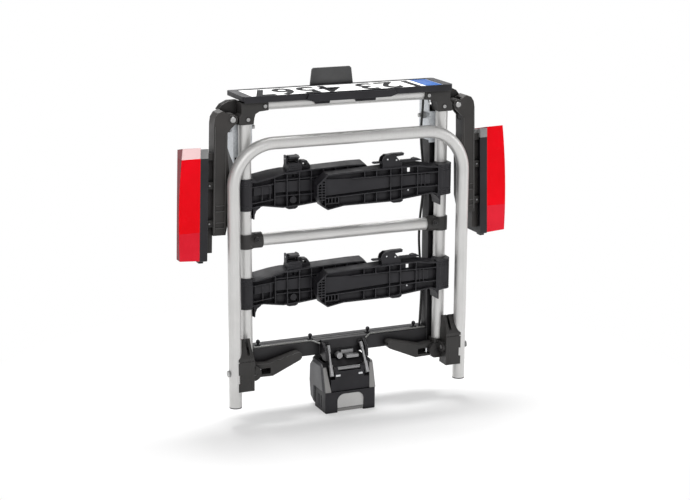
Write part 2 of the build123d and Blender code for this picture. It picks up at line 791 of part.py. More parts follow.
def left_buckle_base(z):
    """The buckle's body on the upper edge of a left-hand rail, turned across the rail."""
    x = -tube_half_spacing + 120
    y0 = left_rail_front + 3
    y1 = left_rail_rim
    top = z + left_buckle_rise
    base = prism_y([(x - 21, top - 17), (x + 14, top - 18), (x + 19, top - 3), (x + 17, top + 5),
                    (x + 12, top + 8), (x - 12, top + 8), (x - 16, top + 3)],
                   y0, y1)
    for step in range(3):
        base -= block(x - 22, x + 20, y0 - 1, y0 + 1.2, top - 12 + 6 * step, top - 10 + 6 * step)
    ears = block(x - 16, x - 12, y1 - 16, y1, top + 3, top + 24)
    ears += block(x + 12, x + 16, y1 - 16, y1, top + 3, top + 24)
    ears -= bar_x(x - 18, x + 18, y1 - 8, top + 16, 2.5 + running_gap)
    keeper = prism_y([(x + 19.3, z + 46), (x + 46, z + 47), (x + 44, z + 58), (x + 36, z + 69),
                      (x + 24, z + 70), (x + 20, z + 64)],
                     y1 - 18, y1)
    keeper -= block(x + 25, x + 35, y1 - 19, y1 + 1, z + 58, z + 64)
    return base + ears + keeper


def right_strap(z):
    """A right-hand toothed strap: through the rail, the buckle and along the upper edge."""
    x = tube_half_spacing - 138
    half = strap_half_width()
    rim = right_rail_rim
    tail_low = z + 45 + strap_rise
    tail_high = tail_low + 2.4
    front = rim - 16.5
    upright = block(x - half, x + half, rim - 7, rim - 4, z - 39, tail_high)
    tail = block(x - 58, x + 48, front, rim - 4, tail_low, tail_high)
    for first, last in ((x - 56, x - 38), (x + 16, x + 46)):
        tooth = first
        while tooth < last:
            tail += block(tooth, tooth + 2, front, rim - 4, tail_high, tail_high + 1.5)
            tooth += 4
    end = prism_y([(x + 44, tail_low), (x + 44, tail_high + 3), (x + 52, tail_high + 5),
                   (x + 62, tail_high + 2), (x + 70, tail_low)],
                  front, rim - 4)
    return upright + tail + end


def left_strap(z):
    """A left-hand strap: through the rail and up into its buckle."""
    x = -tube_half_spacing + 120
    half = strap_half_width()
    rim = left_rail_rim
    return block(x - half, x + half, rim - 7, rim - 4, z - 39, z + left_buckle_rise + 11)


def right_lever(z):
    """The ratchet lever of a right-hand buckle, pointing along the rail."""
    x = tube_half_spacing - 162
    top = z + 45 + buckle_hinge_rise
    y0 = right_rail_front + 6 + part_gap
    y1 = right_rail_rim - 3 - part_gap
    body = prism_y([(x - 5, top - 2), (x, top - 4), (x + 8, top - 2), (x + 22, top + 4), (x + 44, top + 6),
                    (x + 45, top + 12), (x + 18, top + 12), (x, top + 10), (x - 5, top + 4)],
                   y0, y1)
    body += bar_along_y(x, y0, y1, top, 4.2)
    body += bar_along_y(x, y0 - 2, y1 + 2, top, 2.5)
    return body


def left_lever(z):
    """The ratchet lever of a left-hand buckle, pointing along Y."""
    x = -tube_half_spacing + 120
    top = z + left_buckle_rise + 16
    hinge_y = left_rail_rim - 8
    x0 = x - 12 + part_gap
    x1 = x + 12 - part_gap
    body = prism_x([(hinge_y, top - 4), (hinge_y + 2, top + 3.5), (hinge_y - 2, top + 9),
                    (hinge_y - 24, top + 8), (hinge_y - 24, top + 4), (hinge_y - 4, top + 1)],
                   x0, x1)
    body += bar_x(x0, x1, hinge_y, top, 4.2)
    body += bar_x(x0 - 2, x1 + 2, hinge_y, top, 2.5)
    return body


# Lamps

def lamp_arm():
    """The right-hand folding arm that carries a lamp."""
    x = lamp_hinge_x
    z = lamp_hinge_z
    outer = x + lamp_arm_outer
    back = lamp_arm_front + lamp_arm_depth
    outline = [
        (x + 9, z + 13), (x + 24, z + 21), (outer - 9, z + 16), (outer - 2, z + 5), (outer, z - 9),
        (outer, z - lamp_arm_length), (x + 14, z - lamp_arm_length),
        (x + 6, z - lamp_arm_length + 40), (x + 6, z - 130), (x + 12, z - 75), (x + 12, z - 30),
        (x + 4, z - 21), (x - 8, z - 9), (x, z),
    ]
    body = prism_y(outline, lamp_arm_front, back)
    body += bar_along_y(x, lamp_arm_front, back, z, 12)
    lug_front, lug_back = lamp_lug_span()
    body -= bar_along_y(x, lug_front - part_gap, lug_back + part_gap, z, 14)
    body -= block(x - 20, x + 13.5, lug_front - part_gap, lug_back + part_gap, z - 40, z + 40)
    pocket = prism_y(
        [(x + 18, z - 40), (outer - 3, z - 20), (outer - 3, z - lamp_arm_length + 3),
         (x + 18, z - lamp_arm_length + 3), (x + 10, z - lamp_arm_length + 40), (x + 10, z - 120)],
        lamp_arm_front + 3, back + 1)
    body -= pocket
    body += block(outer - 2, x + lamp_reach, lamp_arm_front + 11, back - 5, lamp_low + 14,
                  lamp_low + lamp_height - 22)
    for low in (z - 250, z - 160, z - 92):
        body += block(outer - 2, x + lamp_reach, lamp_arm_front + 4, lamp_arm_front + 12, low, low + 16)
    for low in (z - 212, z - 252):
        body -= block(x + 16, outer - 5, lamp_arm_front - 1, lamp_arm_front + 1.2, low, low + 13)
    return body - bar_along_y(x, lamp_arm_front - 1, back + 1, z, lamp_bolt_radius + running_gap)


def leaned(shape):
    """A part of the right-hand lamp, turned out about the hinge as the folded lamp hangs."""
    return shape.rotate(Axis((lamp_hinge_x, 0, lamp_hinge_z), (0, 1, 0)), -lamp_lean)


def lamp_bolt():
    """The right-hand lamp hinge bolt, held in the corner bracket's lug."""
    back = lamp_arm_front + lamp_arm_depth
    shank = bar_along_y(lamp_hinge_x, lamp_arm_front - part_gap, back + part_gap, lamp_hinge_z,
                        lamp_bolt_radius)
    head = bar_along_y(lamp_hinge_x, lamp_arm_front - part_gap - 4, lamp_arm_front - part_gap,
                       lamp_hinge_z, 7)
    head = fillet(head.edges().group_by(Axis.Y)[0], 3)
    nut = bar_along_y(lamp_hinge_x, back + part_gap, back + part_gap + 5, lamp_hinge_z, 7)
    return shank + head + nut


def lamp_housing():
    """The right-hand black lamp tub behind the red lens."""
    inner = lamp_hinge_x + lamp_reach
    outer = inner + lamp_housing_depth
    back = lamp_front + lamp_depth
    high = lamp_low + lamp_height - 4
    body = block(inner, outer, lamp_front, back, lamp_low - 3, high) - above_lamp(high)
    body = fillet(body.edges().filter_by(Axis.X), 5)
    body -= block(inner + 4, outer + 1, lamp_front + 4, back - 4, lamp_low + 2, high) - above_lamp(high - 5)
    foot = block(inner + 6, outer - 2, lamp_front + 12, lamp_front + 30, lamp_low - 9, lamp_low - 1)
    return body + foot


def lamp_board():
    """The right-hand printed board with its light sources, screwed into the tub."""
    inner = lamp_hinge_x + lamp_reach + 4
    back = lamp_front + lamp_depth
    board = block(inner, inner + 1.6, lamp_front + 8, back - 8, lamp_low + 10,
                  lamp_low + lamp_height - lamp_top_fall - 16)
    for count in range(6):
        z = lamp_low + 36 + count * 38
        board += Pos(inner + 3, lamp_front + lamp_depth / 2, z) * Box(3.4, 12, 12)
    return board


def lens_body(inner, depth, front, back, low, high, bulge):
    """A lens shape: a bulged outer face that rakes back towards the rear."""
    top_x = inner + depth - 8
    low_x = inner + depth - 3
    middle = (inner + depth + bulge, (low * 0.6 + high * 0.4))
    edge = Polyline((top_x, high), (inner, high), (inner, low), (low_x, low + 2))
    arc = ThreePointArc((low_x, low + 2), middle, (top_x, high))
    face = make_face(Curve() + [edge, arc])
    solid = drawn_y(face, front, back)
    rake = prism_z([(inner + depth + 30, front + 4), (inner + depth + 4, front + 4),
                    (inner + depth - 25, back + 1), (inner + depth + 30, back + 1)],
                   low - 5, high + 5)
    return solid - rake - above_lamp(high)


def above_lamp(high):
    """The room above a lamp, whose top falls towards the rear."""
    return prism_x([(lamp_front - 1, high), (lamp_front + lamp_depth + 1, high - lamp_top_fall),
                    (lamp_front + lamp_depth + 1, high + 20), (lamp_front - 1, high + 20)],
                   tube_half_spacing, tube_half_spacing + 300)


def lamp_lens():
    """The right-hand clear-cut red lens, a hollow shell."""
    inner = lamp_hinge_x + lamp_reach + lamp_housing_depth
    back = lamp_front + lamp_depth
    low = lamp_low
    high = lamp_low + lamp_height
    outside = lens_body(inner, lens_depth, lamp_front, back, low, high, 0)
    hollow = lens_body(inner - 1, lens_depth - 3, lamp_front + 3, back - 3, low + 3, high - 3, 0)
    return outside - hollow


# Chassis

def side_arm_outline():
    """The side view of the chassis arm, round about the pivot at its upper end."""
    back_low = 33.5
    straight = Polyline(
        (side_arm_front, pivot_z), (side_arm_front, beam_low), (back_low, beam_low),
        (pivot_y + 10, 500), (pivot_y + arm_end_radius, 650), (pivot_y + arm_end_radius, pivot_z))
    top = ThreePointArc((pivot_y + arm_end_radius, pivot_z), (pivot_y, pivot_z + arm_end_radius),
                        (side_arm_front, pivot_z))
    return make_face(Curve() + [straight, top])


def side_arm():
    """The right-hand black chassis arm behind the side tube."""
    outline = side_arm_outline()
    body = drawn_x(outline, side_arm_inner_x, arm_outer_x)
    inner = offset(outline, -side_arm_wall, kind=Kind.INTERSECTION)
    cavity = drawn_x(inner, side_arm_inner_x + side_arm_wall, arm_outer_x - side_arm_wall)
    body -= cavity & block(0, 400, -100, 100, 0, pivot_z - 14)
    body -= block(side_arm_inner_x + side_arm_wall, arm_outer_x - side_arm_wall,
                  side_arm_front + side_arm_wall, 33.5 - side_arm_wall, beam_low - 1, beam_low + 5)
    return body - bar_x(side_arm_inner_x - 1, arm_outer_x + 1, pivot_y, pivot_z, bush_radius() + seat_gap)


def bush_radius():
    """Outer radius of the plain bush in the chassis arm."""
    return pivot_bolt_radius + 2.5


def pivot_bush():
    """The right-hand plain bush that the pivot bolt turns in."""
    body = bar_x(side_arm_inner_x, arm_outer_x, pivot_y, pivot_z, bush_radius())
    return body - bar_x(side_arm_inner_x - 1, arm_outer_x + 1, pivot_y, pivot_z,
                        pivot_bolt_radius + running_gap)


def cross_beam():
    """The black box beam between the chassis arms."""
    end = side_arm_inner_x
    body = block(-end, end, beam_front, beam_back, beam_low, beam_top)
    body = fillet(body.edges().filter_by(Axis.X), 2.5)
    body -= block(-end - 1, end + 1, beam_front + beam_wall, beam_back - beam_wall,
                  beam_low + beam_wall, beam_top - beam_wall)
    for y in (beam_front + 14, beam_front + 28):
        body -= block(-end - 1, end + 1, y, y + 3, beam_top - 1.2, beam_top + 1)
    return body


def beam_clips():
    """Clips standing on the beam."""
    clips = []
    for x in (-210, -74, 80, 206):
        stem = bar_z(x, beam_front + 22, beam_top, beam_top + 9, 3)
        stem += Pos(x, beam_front + 22, beam_top + 10) * Sphere(5)
        foot = block(x - 6, x + 6, beam_front + 17.5, beam_front + 27.5, beam_top, beam_top + 2)
        clips.append(stem + foot)
    return clips


def guide_rod():
    """The right-hand bright release rod along the beam and down into the coupling."""
    y = beam_front + 4
    z = beam_top + 2.05
    path = FilletPolyline((228, y, z), (78, y, z), (60, -10, 165), radius=10)
    start = Plane(origin=(228, y, z), z_dir=(-1, 0, 0))
    return sweep(start * Circle(2), path=path)


def coupling_body():
    """The cast body of the towball coupling, with the ball socket open to the back."""
    half = coupling_half_width
    profile = [
        (cover_front + 9.3, 8), (cover_front + 9.3, 50), (-35, 112), (-20, 126), (-6, 126),
        (-6, beam_low), (30, beam_low), (30, 112), (coupling_back, 100), (coupling_back, 30),
        (28, 14), (cover_back - 2, 8),
    ]
    body = prism_x(profile, -half, half)
    body -= block(-half - 1, -38, -60, 60, 126, beam_low + 1)
    body -= block(38, half + 1, -60, 60, 126, beam_low + 1)
    body -= bar_along_y(0, ball_y, coupling_back + 1, ball_z, socket_radius)
    body -= Pos(0, ball_y, ball_z) * Sphere(socket_radius)
    body -= block(-jaw_half_width - part_gap, jaw_half_width + part_gap, jaw_front() - part_gap,
                  jaw_back() + part_gap, 0, ball_z - 14)
    for side in (-1, 1):
        x0, x1 = sorted((side * 38.3, side * lever_pin_half))
        body += block(x0, x1, lever_hinge_y - 7, -28, lever_hinge_z - 7, lever_hinge_z + 7)
        x0, x1 = sorted((side * (half - 16), side * (half - 4)))
        body -= block(x0, x1, -26, 6, shoulder_low - 1, shoulder_high)
    body -= both_sides(shoulder_cut())
    body -= bar_x(-70, 70, lever_hinge_y, lever_hinge_z, lever_pin_radius + seat_gap)
    return body


def shoulder_cut():
    """What slopes off the right-hand top corner of the coupling and its side cover."""
    half = coupling_half_width
    return prism_y([(half - 10, shoulder_high), (half + side_cover_depth + 1, shoulder_low),
                    (half + 40, shoulder_low), (half + 40, shoulder_high)],
                   -70, 60)


def jaw_front():
    """Front face of the sliding jaw."""
    return ball_y + 9


def jaw_back():
    """Back face of the sliding jaw."""
    return ball_y + 27


def clamp_jaw():
    """The sliding jaw that closes on the ball from below."""
    low = 12.0
    body = block(-jaw_half_width, jaw_half_width, jaw_front(), jaw_back(), low, ball_z - 14 - part_gap)
    return body - bar_along_y(0, jaw_front() - 1, jaw_back() + 1, ball_z, socket_radius)


def coupling_cover():
    """The black foot cover of the coupling, with the arched window in its front."""
    half = coupling_half_width + cover_wall + part_gap
    body = block(-half, half, cover_front, cover_back, 0, cover_height)
    body = fillet(body.edges().filter_by(Axis.Z).group_by(Axis.Y)[0], 4)
    body = chamfer(body.edges().group_by(Axis.Z)[0], 1.2)
    inside = coupling_half_width + part_gap
    body -= block(-inside, inside, cover_front + 9, cover_back + 1, 8 - part_gap, cover_height + 1)
    for y in (cover_front + 26, cover_front + 36, cover_front + 46):
        for side in (-1, 1):
            x0, x1 = sorted((side * (half - 1.4), side * (half + 1)))
            body -= block(x0, x1, y, y + 4, 8, cover_height - 12)
    return body - drawn_y(arch_outline(0), cover_front - 1, cover_front + 9.5)


def arch_outline(inset):
    """The rounded window in the front of the foot cover, drawn in by a gap."""
    half = arch_half_width - inset
    high = arch_height - inset
    face = Polygon((-half, -1), (half, -1), (half, high), (-half, high), align=None)
    return fillet(face.vertices().group_by(Axis.Y)[-1], 18 - inset)


def ball_cup():
    """The light metal cup end that shows in the cover's window."""
    body = drawn_y(arch_outline(part_gap), cover_front + 2, cover_front + 9.28)
    body -= block(-50, 50, cover_front, cover_front + 10, -2, 2)
    return body - prism_x([(cover_front + 1, -1), (cover_front + 5, 1), (cover_front + 1, 11)], -50, 50)


def side_cover():
    """The right-hand moulded side cover of the coupling, with its strip down the sloping front."""
    inner = coupling_half_width
    outer = inner + side_cover_depth
    low = cover_height + 0.5
    body = prism_x(
        [(cover_front + 9.5, low), (-35, 113), (-20, 125.5), (12, 125.5), (35, 103),
         (38, ball_z), (31, 22), (cover_back + 0.5, 10), (cover_back + 0.5, low)],
        inner, outer)
    body = chamfer(body.faces().sort_by(Axis.X)[-1].edges(), 2.5)
    strip = prism_x([(cover_front + 1.5, low), (cover_front + 9, low), (-36, 112), (-41, 112)],
                    inner - 12.5, inner + 2)
    strip -= prism_y([(inner - 13, low - 1), (inner - 6, 114), (inner - 13, 114)], -70, 0)
    root = prism_x([(cover_front + 1.5, low), (cover_front + 14, low + 4), (-30, 108), (-36, 112),
                    (-41, 112)],
                   inner + 0.2, outer - 3)
    return body + root + strip - shoulder_cut()


def coupling_lever():
    """The hand lever on the front of the coupling."""
    y = lever_hinge_y
    z = lever_hinge_z
    body = prism_x([(y - 12, 54), (y - 7.5, 53.5), (y + 2.5, z - 12), (y + 2.5, z + 5), (y - 4, z + 7),
                    (y - 8, z + 2)],
                   -50, 50)
    body -= block(-51, -38, -90, 0, z - 24, z + 30)
    body -= block(38, 51, -90, 0, z - 24, z + 30)
    body -= block(-30, 30, -90, 0, z - 5, z + 30)
    return body - bar_x(-70, 70, y, z, lever_pin_radius + running_gap)


def lever_pin():
    """The bright cross pin that the lever turns on."""
    return bar_x(-lever_pin_half, lever_pin_half, lever_hinge_y, lever_hinge_z, lever_pin_radius)


def yoke():
    """The black bracket that bolts the coupling to the front of the beam."""
    front = beam_front - 11
    body = block(-57, 57, front, beam_front, beam_low + 1, beam_top + 4)
    for side in (-1, 1):
        x0, x1 = sorted((side * 50, side * 57))
        body += prism_x([(front + 4, beam_top + 2), (-34, 152), (-36, 127), (-20, 126.5), (front + 4, 134)],
                        x0, x1)
    body -= block(-49, 49, front - 1, yoke_recess(), beam_low, 150)
    for x0, x1 in ((-48, -38), (38, 48)):
        body += block(x0, x1, front - 3.4, front + 1, 155, 165)
    return body


def yoke_recess():
    """Where the yoke's front is cut back for the adjusting plate."""
    return beam_front - 8


def tie_rod():
    """The right-hand adjusting rod between the yoke and the coupling."""
    upper = bar_between((43, -19, 160), (44.5, -28, 146), 4.5)
    lower = bar_between((44.5, -28, 146), (47, -53, 93), 3.2)
    sleeve_part = bar_between((46.0, -41.7, 117), (47, -53.5, 92), 5)
    return upper + lower + sleeve_part


def adjusting_plates():
    """Two spring plates and a round nut between the yoke and the coupling."""
    return [
        block(-6, 26, yoke_recess() - 5, yoke_recess() - seat_gap, 134, 143),
        block(2, 34, -29, -13, 126.05, 133.5),
        bar_along_y(-16, -28, -14, 134, 7.6),
    ]


# Foot pedal

def foot_pedal():
    """The pedal behind the plate holder, bent from thick sheet, with its shaft boss."""
    y = pedal_shaft_y
    z = pedal_shaft_z
    back = holder_back + 1
    low = prism_x([(y - 8, z - 8), (y + 4, z - 8), (back + pedal_sheet, z + 14),
                   (back + pedal_sheet, z + 24), (back, z + 24), (back, z + 17), (y, z + 8),
                   (y - 8, z + 8)],
                  -pedal_half_width, pedal_half_width)
    tab = prism_y([(-pedal_half_width, z + 22), (pedal_half_width, z + 22),
                   (pedal_half_width - 6, pedal_top - 4), (pedal_half_width - 10, pedal_top),
                   (-pedal_half_width + 10, pedal_top), (-pedal_half_width + 6, pedal_top - 4)],
                  back, back + pedal_sheet)
    return low + tab - bar_x(-100, 100, y, z, pedal_shaft_radius + seat_gap)


def pedal_shaft():
    """The shaft across the platform, with a release finger over each chassis arm."""
    end = arm_middle_x + 8
    shaft = bar_x(-end, end, pedal_shaft_y, pedal_shaft_z, pedal_shaft_radius)
    for side in (-1, 1):
        x0, x1 = sorted((side * (arm_middle_x - 6), side * (arm_middle_x + 6)))
        shaft += prism_x([(pedal_shaft_y - 4, pedal_shaft_z), (pedal_shaft_y + 6, pedal_shaft_z),
                          (pivot_y + 8, pivot_z + arm_end_radius + 5),
                          (pivot_y - 2, pivot_z + arm_end_radius + 4)],
                         x0, x1)
    return shaft


def spring_point(turns):
    """A point on the pedal spring's centre line, so many turns from its start beside the pedal."""
    radius = pedal_shaft_radius + part_gap + spring_wire / 2
    angle = math.radians(360 * turns)
    return Vector(pedal_half_width + part_gap + spring_wire / 2 + spring_pitch * turns,
                  pedal_shaft_y + radius * math.cos(angle), pedal_shaft_z + radius * math.sin(angle))


def spring_direction(turns):
    """The direction of the pedal spring's centre line, so many turns from its start."""
    radius = pedal_shaft_radius + part_gap + spring_wire / 2
    angle = math.radians(360 * turns)
    return Vector(spring_pitch, -2 * math.pi * radius * math.sin(angle),
                  2 * math.pi * radius * math.cos(angle)).normalized()


def quarter_turn(first, last):
    """Two arcs that meet smoothly and follow a quarter turn of the spring."""
    start = spring_point(first)
    end = spring_point(last)
    start_way = spring_direction(first)
    end_way = spring_direction(last)
    chord = end - start
    square = 2 * (start_way.dot(end_way) - 1)
    linear = -2 * chord.dot(start_way + end_way)
    reach = (-linear - math.sqrt(linear ** 2 - 4 * square * chord.dot(chord))) / (2 * square)
    if reach < 0:
        reach = (-linear + math.sqrt(linear ** 2 - 4 * square * chord.dot(chord))) / (2 * square)
    middle = (start + start_way * reach + end - end_way * reach) / 2
    middle_way = (end - end_way * reach - start - start_way * reach).normalized()
    return [TangentArc(start, middle, tangent=start_way), TangentArc(middle, end, tangent=middle_way)]


def print_spring_gap(path):
    """Print the least gap between two turns of a spring, measured on points."""
    count = 40 * spring_turns
    points = [path @ (index / count) for index in range(count + 1)]
    apart = count // (2 * spring_turns)
    least = min((points[first] - points[last]).length
                for first in range(count + 1) for last in range(first + apart, count + 1))
    print("spring gap", round(least - spring_wire, 2))


def pedal_spring():
    """The right-hand torsion spring round the pedal shaft, its leg up against the plate holder."""
    edges = []
    for quarter in range(4 * spring_turns):
        edges += quarter_turn(quarter / 4, (quarter + 1) / 4)
    end = spring_point(spring_turns)
    way = spring_direction(spring_turns)
    leg = (plate_seat() - holder_floor - part_gap - end.Z) / way.Z
    edges.append(Line(end, end + way * leg))
    path = Wire(edges)
    print_spring_gap(path)
    start = Plane(origin=path @ 0, z_dir=path % 0)
    return sweep(start * Circle(spring_wire / 2), path=path)


# Cables

def bend_radii(points):
    """The radius of each bend, as large as its two straight runs allow."""
    radii = []
    for before, here, after in zip(points, points[1:], points[2:]):
        run_in = Vector(*here) - Vector(*before)
        run_out = Vector(*after) - Vector(*here)
        turn = math.radians(run_in.get_angle(run_out))
        radii.append(0.45 * min(run_in.length, run_out.length) / math.tan(turn / 2))
    return radii


def cable(points):
    """A round cable along straight runs and arcs."""
    radii = bend_radii(points)
    path = FilletPolyline(*points, radius=radii)
    start = Plane(origin=points[0], z_dir=Vector(*points[1]) - Vector(*points[0]))
    print("cable length", round(path.length, 1), "least radius", round(min(radii), 1))
    return sweep(start * Circle(cable_radius), path=path)


def platform_cable():
    """The lamp cable from the plate holder down to the tilting pivot."""
    return cable([(216, 5.6, 780.2), (216, 5.8, 757), (216.2, 7.5, 729), (216.4, 12, pivot_z)])


def chassis_cable():
    """The lamp cable from the tilting pivot along the chassis arm to the beam."""
    return cable([
        (216.4, 12, pivot_z), (216.62, 17.04, 676), (219, 21, 640), (225, 24, 600),
        (229.4, 25.5, 556), (228.6, 25, 506), (222, 25.5, 452), (219, 25, 402), (222.4, 25.6, 350),
        (228.4, 25, 300), (229.3, 25.6, 252), (226.5, 24.8, 208), (224, 24, beam_top + 0.6)])


def arm_clips():
    """Clips that hold the cable on the inner face of the right-hand chassis arm."""
    clips = []
    for z in (556, 300):
        clip = block(222, side_arm_inner_x, 18, 32.5, z - 5, z + 5)
        clip -= bar_z(228.3, 25.3, z - 6, z + 6, cable_radius + 1.2)
        clips.append(clip)
    return clips


def main():
    """Make every sub-part and write one file for each."""
    upper = rail_upper_z
    lower = rail_lower_z
    parts = {
        "cross_beam": cross_beam(),
        "side_arm_left": mirrored(side_arm()),
        "side_arm_right": side_arm(),
        "pivot_bushes": both_sides(pivot_bush()),
        "cable_clips": group(beam_clips() + arm_clips()),
        "guide_rods": both_sides(guide_rod()),
        "coupling_body": coupling_body(),
        "coupling_cover": coupling_cover(),
        "ball_cup": ball_cup(),
        "side_covers": both_sides(side_cover()),
        "lever_pin": lever_pin(),
        "coupling_lever": coupling_lever(),
        "clamp_jaw": clamp_jaw(),
        "yoke": yoke(),
        "yoke_hardware": group([tie_rod(), mirrored(tie_rod()), *adjusting_plates()]),
        "chassis_cable": chassis_cable(),
        "side_tubes": both_sides(side_tube()),
        "top_cross_tube": top_cross_tube(),
        "middle_cross_tube": middle_cross_tube(),
        "tee_clamps": both_sides(tee_clamp()),
        "corner_bracket_left": mirrored(corner_bracket()),
        "corner_bracket_right": corner_bracket(),
        "bracket_screws": bracket_screws(),
        "pivot_plate_left": mirrored(pivot_plate()),
        "pivot_plate_right": pivot_plate(),
        "pivot_bolts": both_sides(pivot_bolt()),
        "side_bracket_left": mirrored(side_bracket()),
        "side_bracket_right": side_bracket(),
        "bar_bolts": both_sides(bar_bolt()),
        "lamp_bolts": both_sides(lamp_bolt()),
        "plate_holder": holder(),
        "number_plate": number_plate(),
        "plate_lights": plate_lights(),
        "platform_cable": platform_cable(),
        "u_bar": u_bar(),
        "bar_end_caps": bar_end_caps(),
        "bar_locks": both_sides(bar_lock()),
        "foot_pedal": foot_pedal(),
        "pedal_shaft": pedal_shaft(),
        "pedal_springs": both_sides(pedal_spring()),
    }
    for level, z in (("upper", upper), ("lower", lower)):
        parts[f"rail_{level}_left"] = left_rail(z)
        parts[f"rail_{level}_right"] = right_rail(z)
        parts[f"strap_{level}_left"] = left_strap(z)
        parts[f"strap_{level}_right"] = right_strap(z)
        parts[f"buckle_lever_{level}_left"] = left_lever(z)
        parts[f"buckle_lever_{level}_right"] = right_lever(z)
    for side, place in (("left", mirrored), ("right", lambda shape: shape)):
        parts[f"lamp_arm_{side}"] = place(leaned(lamp_arm()))
        parts[f"lamp_housing_{side}"] = place(leaned(lamp_housing()))
        parts[f"lamp_board_{side}"] = place(leaned(lamp_board()))
        parts[f"lamp_lens_{side}"] = place(leaned(lamp_lens()))
    os.makedirs("parts", exist_ok=True)
    for name, shape in parts.items():
        export_step(shape, os.path.join("parts", name + ".step"))


if __name__ == "__main__":
    main()
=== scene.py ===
import math

import bmesh
import bpy
from mathutils import Matrix, Vector

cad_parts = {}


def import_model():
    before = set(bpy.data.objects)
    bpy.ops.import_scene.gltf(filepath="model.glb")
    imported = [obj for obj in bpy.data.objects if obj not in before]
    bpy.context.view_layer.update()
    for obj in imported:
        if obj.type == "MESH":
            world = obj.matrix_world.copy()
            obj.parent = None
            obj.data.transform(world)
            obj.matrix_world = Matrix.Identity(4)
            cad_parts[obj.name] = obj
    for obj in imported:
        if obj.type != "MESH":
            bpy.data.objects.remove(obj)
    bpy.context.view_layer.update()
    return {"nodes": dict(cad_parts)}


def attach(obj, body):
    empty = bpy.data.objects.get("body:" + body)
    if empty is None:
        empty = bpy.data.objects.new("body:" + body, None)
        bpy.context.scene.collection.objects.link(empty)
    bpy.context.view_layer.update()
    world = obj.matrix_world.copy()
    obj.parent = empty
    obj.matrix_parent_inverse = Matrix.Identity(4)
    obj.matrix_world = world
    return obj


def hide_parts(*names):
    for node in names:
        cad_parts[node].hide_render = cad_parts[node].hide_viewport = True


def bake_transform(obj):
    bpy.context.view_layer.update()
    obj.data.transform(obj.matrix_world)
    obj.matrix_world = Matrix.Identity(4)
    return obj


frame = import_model()

MM = 0.001

# Camera, fitted to the photograph: place in metres, turn and tilt in radians, focal length in pixels
CAMERA_PLACE = (-1.6337, -3.7584, 1.4272)
CAMERA_YAW = 0.412
CAMERA_PITCH = 0.2475
CAMERA_ROLL = 0.0051
FOCAL_PIXELS = 1746.9
PHOTO_WIDTH = 690
SENSOR_MM = 36.0

# Number plate and its digits, in millimetres
PLATE_TOP = 786.5
PLATE_MIDDLE_Y = 7.5
PLATE_HALF_DEPTH = 55.0
PLATE_LIP = 8.0
BAND_INNER_X = 201.0
LIP_INNER_X = 246.0
DIGITS_SIZE = 116.0
DIGITS_WIDTH = 420.0
DIGITS_BOLD = 2.4
DIGITS_HEIGHT = 0.35
DIGITS_LIFT = 0.1

# Lamps, in millimetres and degrees
LENS_SPLIT_Z = 478.0
# Above this height the left lens gets a pale pink band of painted backlight.
LENS_PAINTED_BACKLIGHT_Z = 651.0
LENS_GROOVE = 0.7
LAMP_FRONT = -39.5
HOUSING_X = 348.0
LAMP_LEAN = 1.5
LAMP_TOP_FALL = 20.0
LAMP_DEPTH = 85.0
LAMP_HINGE = (289.0, -36.5, 735.0)
LAMP_SCREW_HEIGHTS = (493.0, 583.0)
CAP_LOW = 648.0
CAP_HIGH = 671.0
CAP_WIDTH = 19.4
CAP_DEPTH = 60.0
CAP_PROUD = 0.5

# The ridges on a lamp arm: from and to, outward from the hinge, then from and to in height above it
ARM_RIDGES = (
    (15, 16.6, -262, -34), (41.5, 43.1, -262, -14), (18, 39, -200.5, -199), (18, 39, -214, -212.5),
    (18, 39, -240.5, -239), (18, 39, -254, -252.5),
)
ARM_RIDGE_HEIGHT = 0.9

# Rails and frame, in millimetres; screws and pins lie inward from the side tube's middle
UPPER_RAIL_Z = 554.0
LOWER_RAIL_Z = 316.0
RIGHT_RAIL_FRONT = -62.5
RAIL_PINS = ((92, 65), (115, 62))
RAIL_SCREW = (150, 9, -15)
LEFT_PIN_X = -134
LEFT_PIN_HALF = 13.5
LEFT_PIN_Y = -7.5
LEFT_PIN_RISE = 75
TUBE_X = 254.0
TEE_SCREW = (22, -41.5, 447)
SUPPORT_SCREW = (12, -38.4, 119)
SUPPORT_PIN = (32, -21.5, 113.2)

# Chassis and pedal, in millimetres
BEAM_LOW = 134.0
BEAM_TOP = 169.0
BEAM_FRONT = -0.5
BEAM_BACK = 49.5
BEAM_END = 233.0
ARM_WELD_BACK = 32.0
YOKE_WELD_X = 57.4
WELD_PROUD = 0.4
BEAM_BOLT_X = 32.0
BEAM_BOLT_Z = 151.0
COVER_STRIP_X = 65.7
CUP_FOOT_Z = 10.5
CUP_LINE = 1.0
LEVER_MARKS = ((-37, -25), (23, 34))
LEVER_MARK_FACE = ((-53.3, 90), (-52.9, 95))
GRIP_HEIGHTS = (802, 808, 814)
GRIP_HALF_WIDTH = 46.0
GRIP_FRONT = 69.5
GRIP_SIZE = (2.4, 0.9)
CABLE_RADIUS = 3.0
CABLE_ROUTE = [
    (216, 5.6, 780.2), (216, 5.8, 757), (216.2, 7.5, 729), (216.4, 12, 704), (216.62, 17.04, 676),
    (219, 21, 640), (225, 24, 600), (229.4, 25.5, 556), (228.6, 25, 506), (222, 25.5, 452),
    (219, 25, 402), (222.4, 25.6, 350), (228.4, 25, 300), (229.3, 25.6, 252), (226.5, 24.8, 208),
    (224, 24, 169.6),
]

# Studio lamps: name, place, target, size in metres and power in watts
STUDIO_LAMPS = (
    ("overhead", (0.1, 0.55, 2.9), (0, -0.1, 0.2), (1.5, 0.9), 74.0),
    ("front", (-1.4, -3.8, 2.4), (0, 0, 0.4), (2.8, 2.2), 50.0),
    ("side", (3.2, -1.6, 1.6), (0, 0, 0.4), (1.6, 2.2), 22.0),
    ("back", (0.8, 3.4, 2.4), (0, 0, 0.4), (2.4, 2.0), 20.0),
)
FLOOR_HALF = 40.0

# How fast a rounded edge turns pale with edge wear and a painted highlight, and how many rays the edge and
# painted corner shade nodes cast
EDGE_GAIN = 9.0
NODE_RAYS = 4

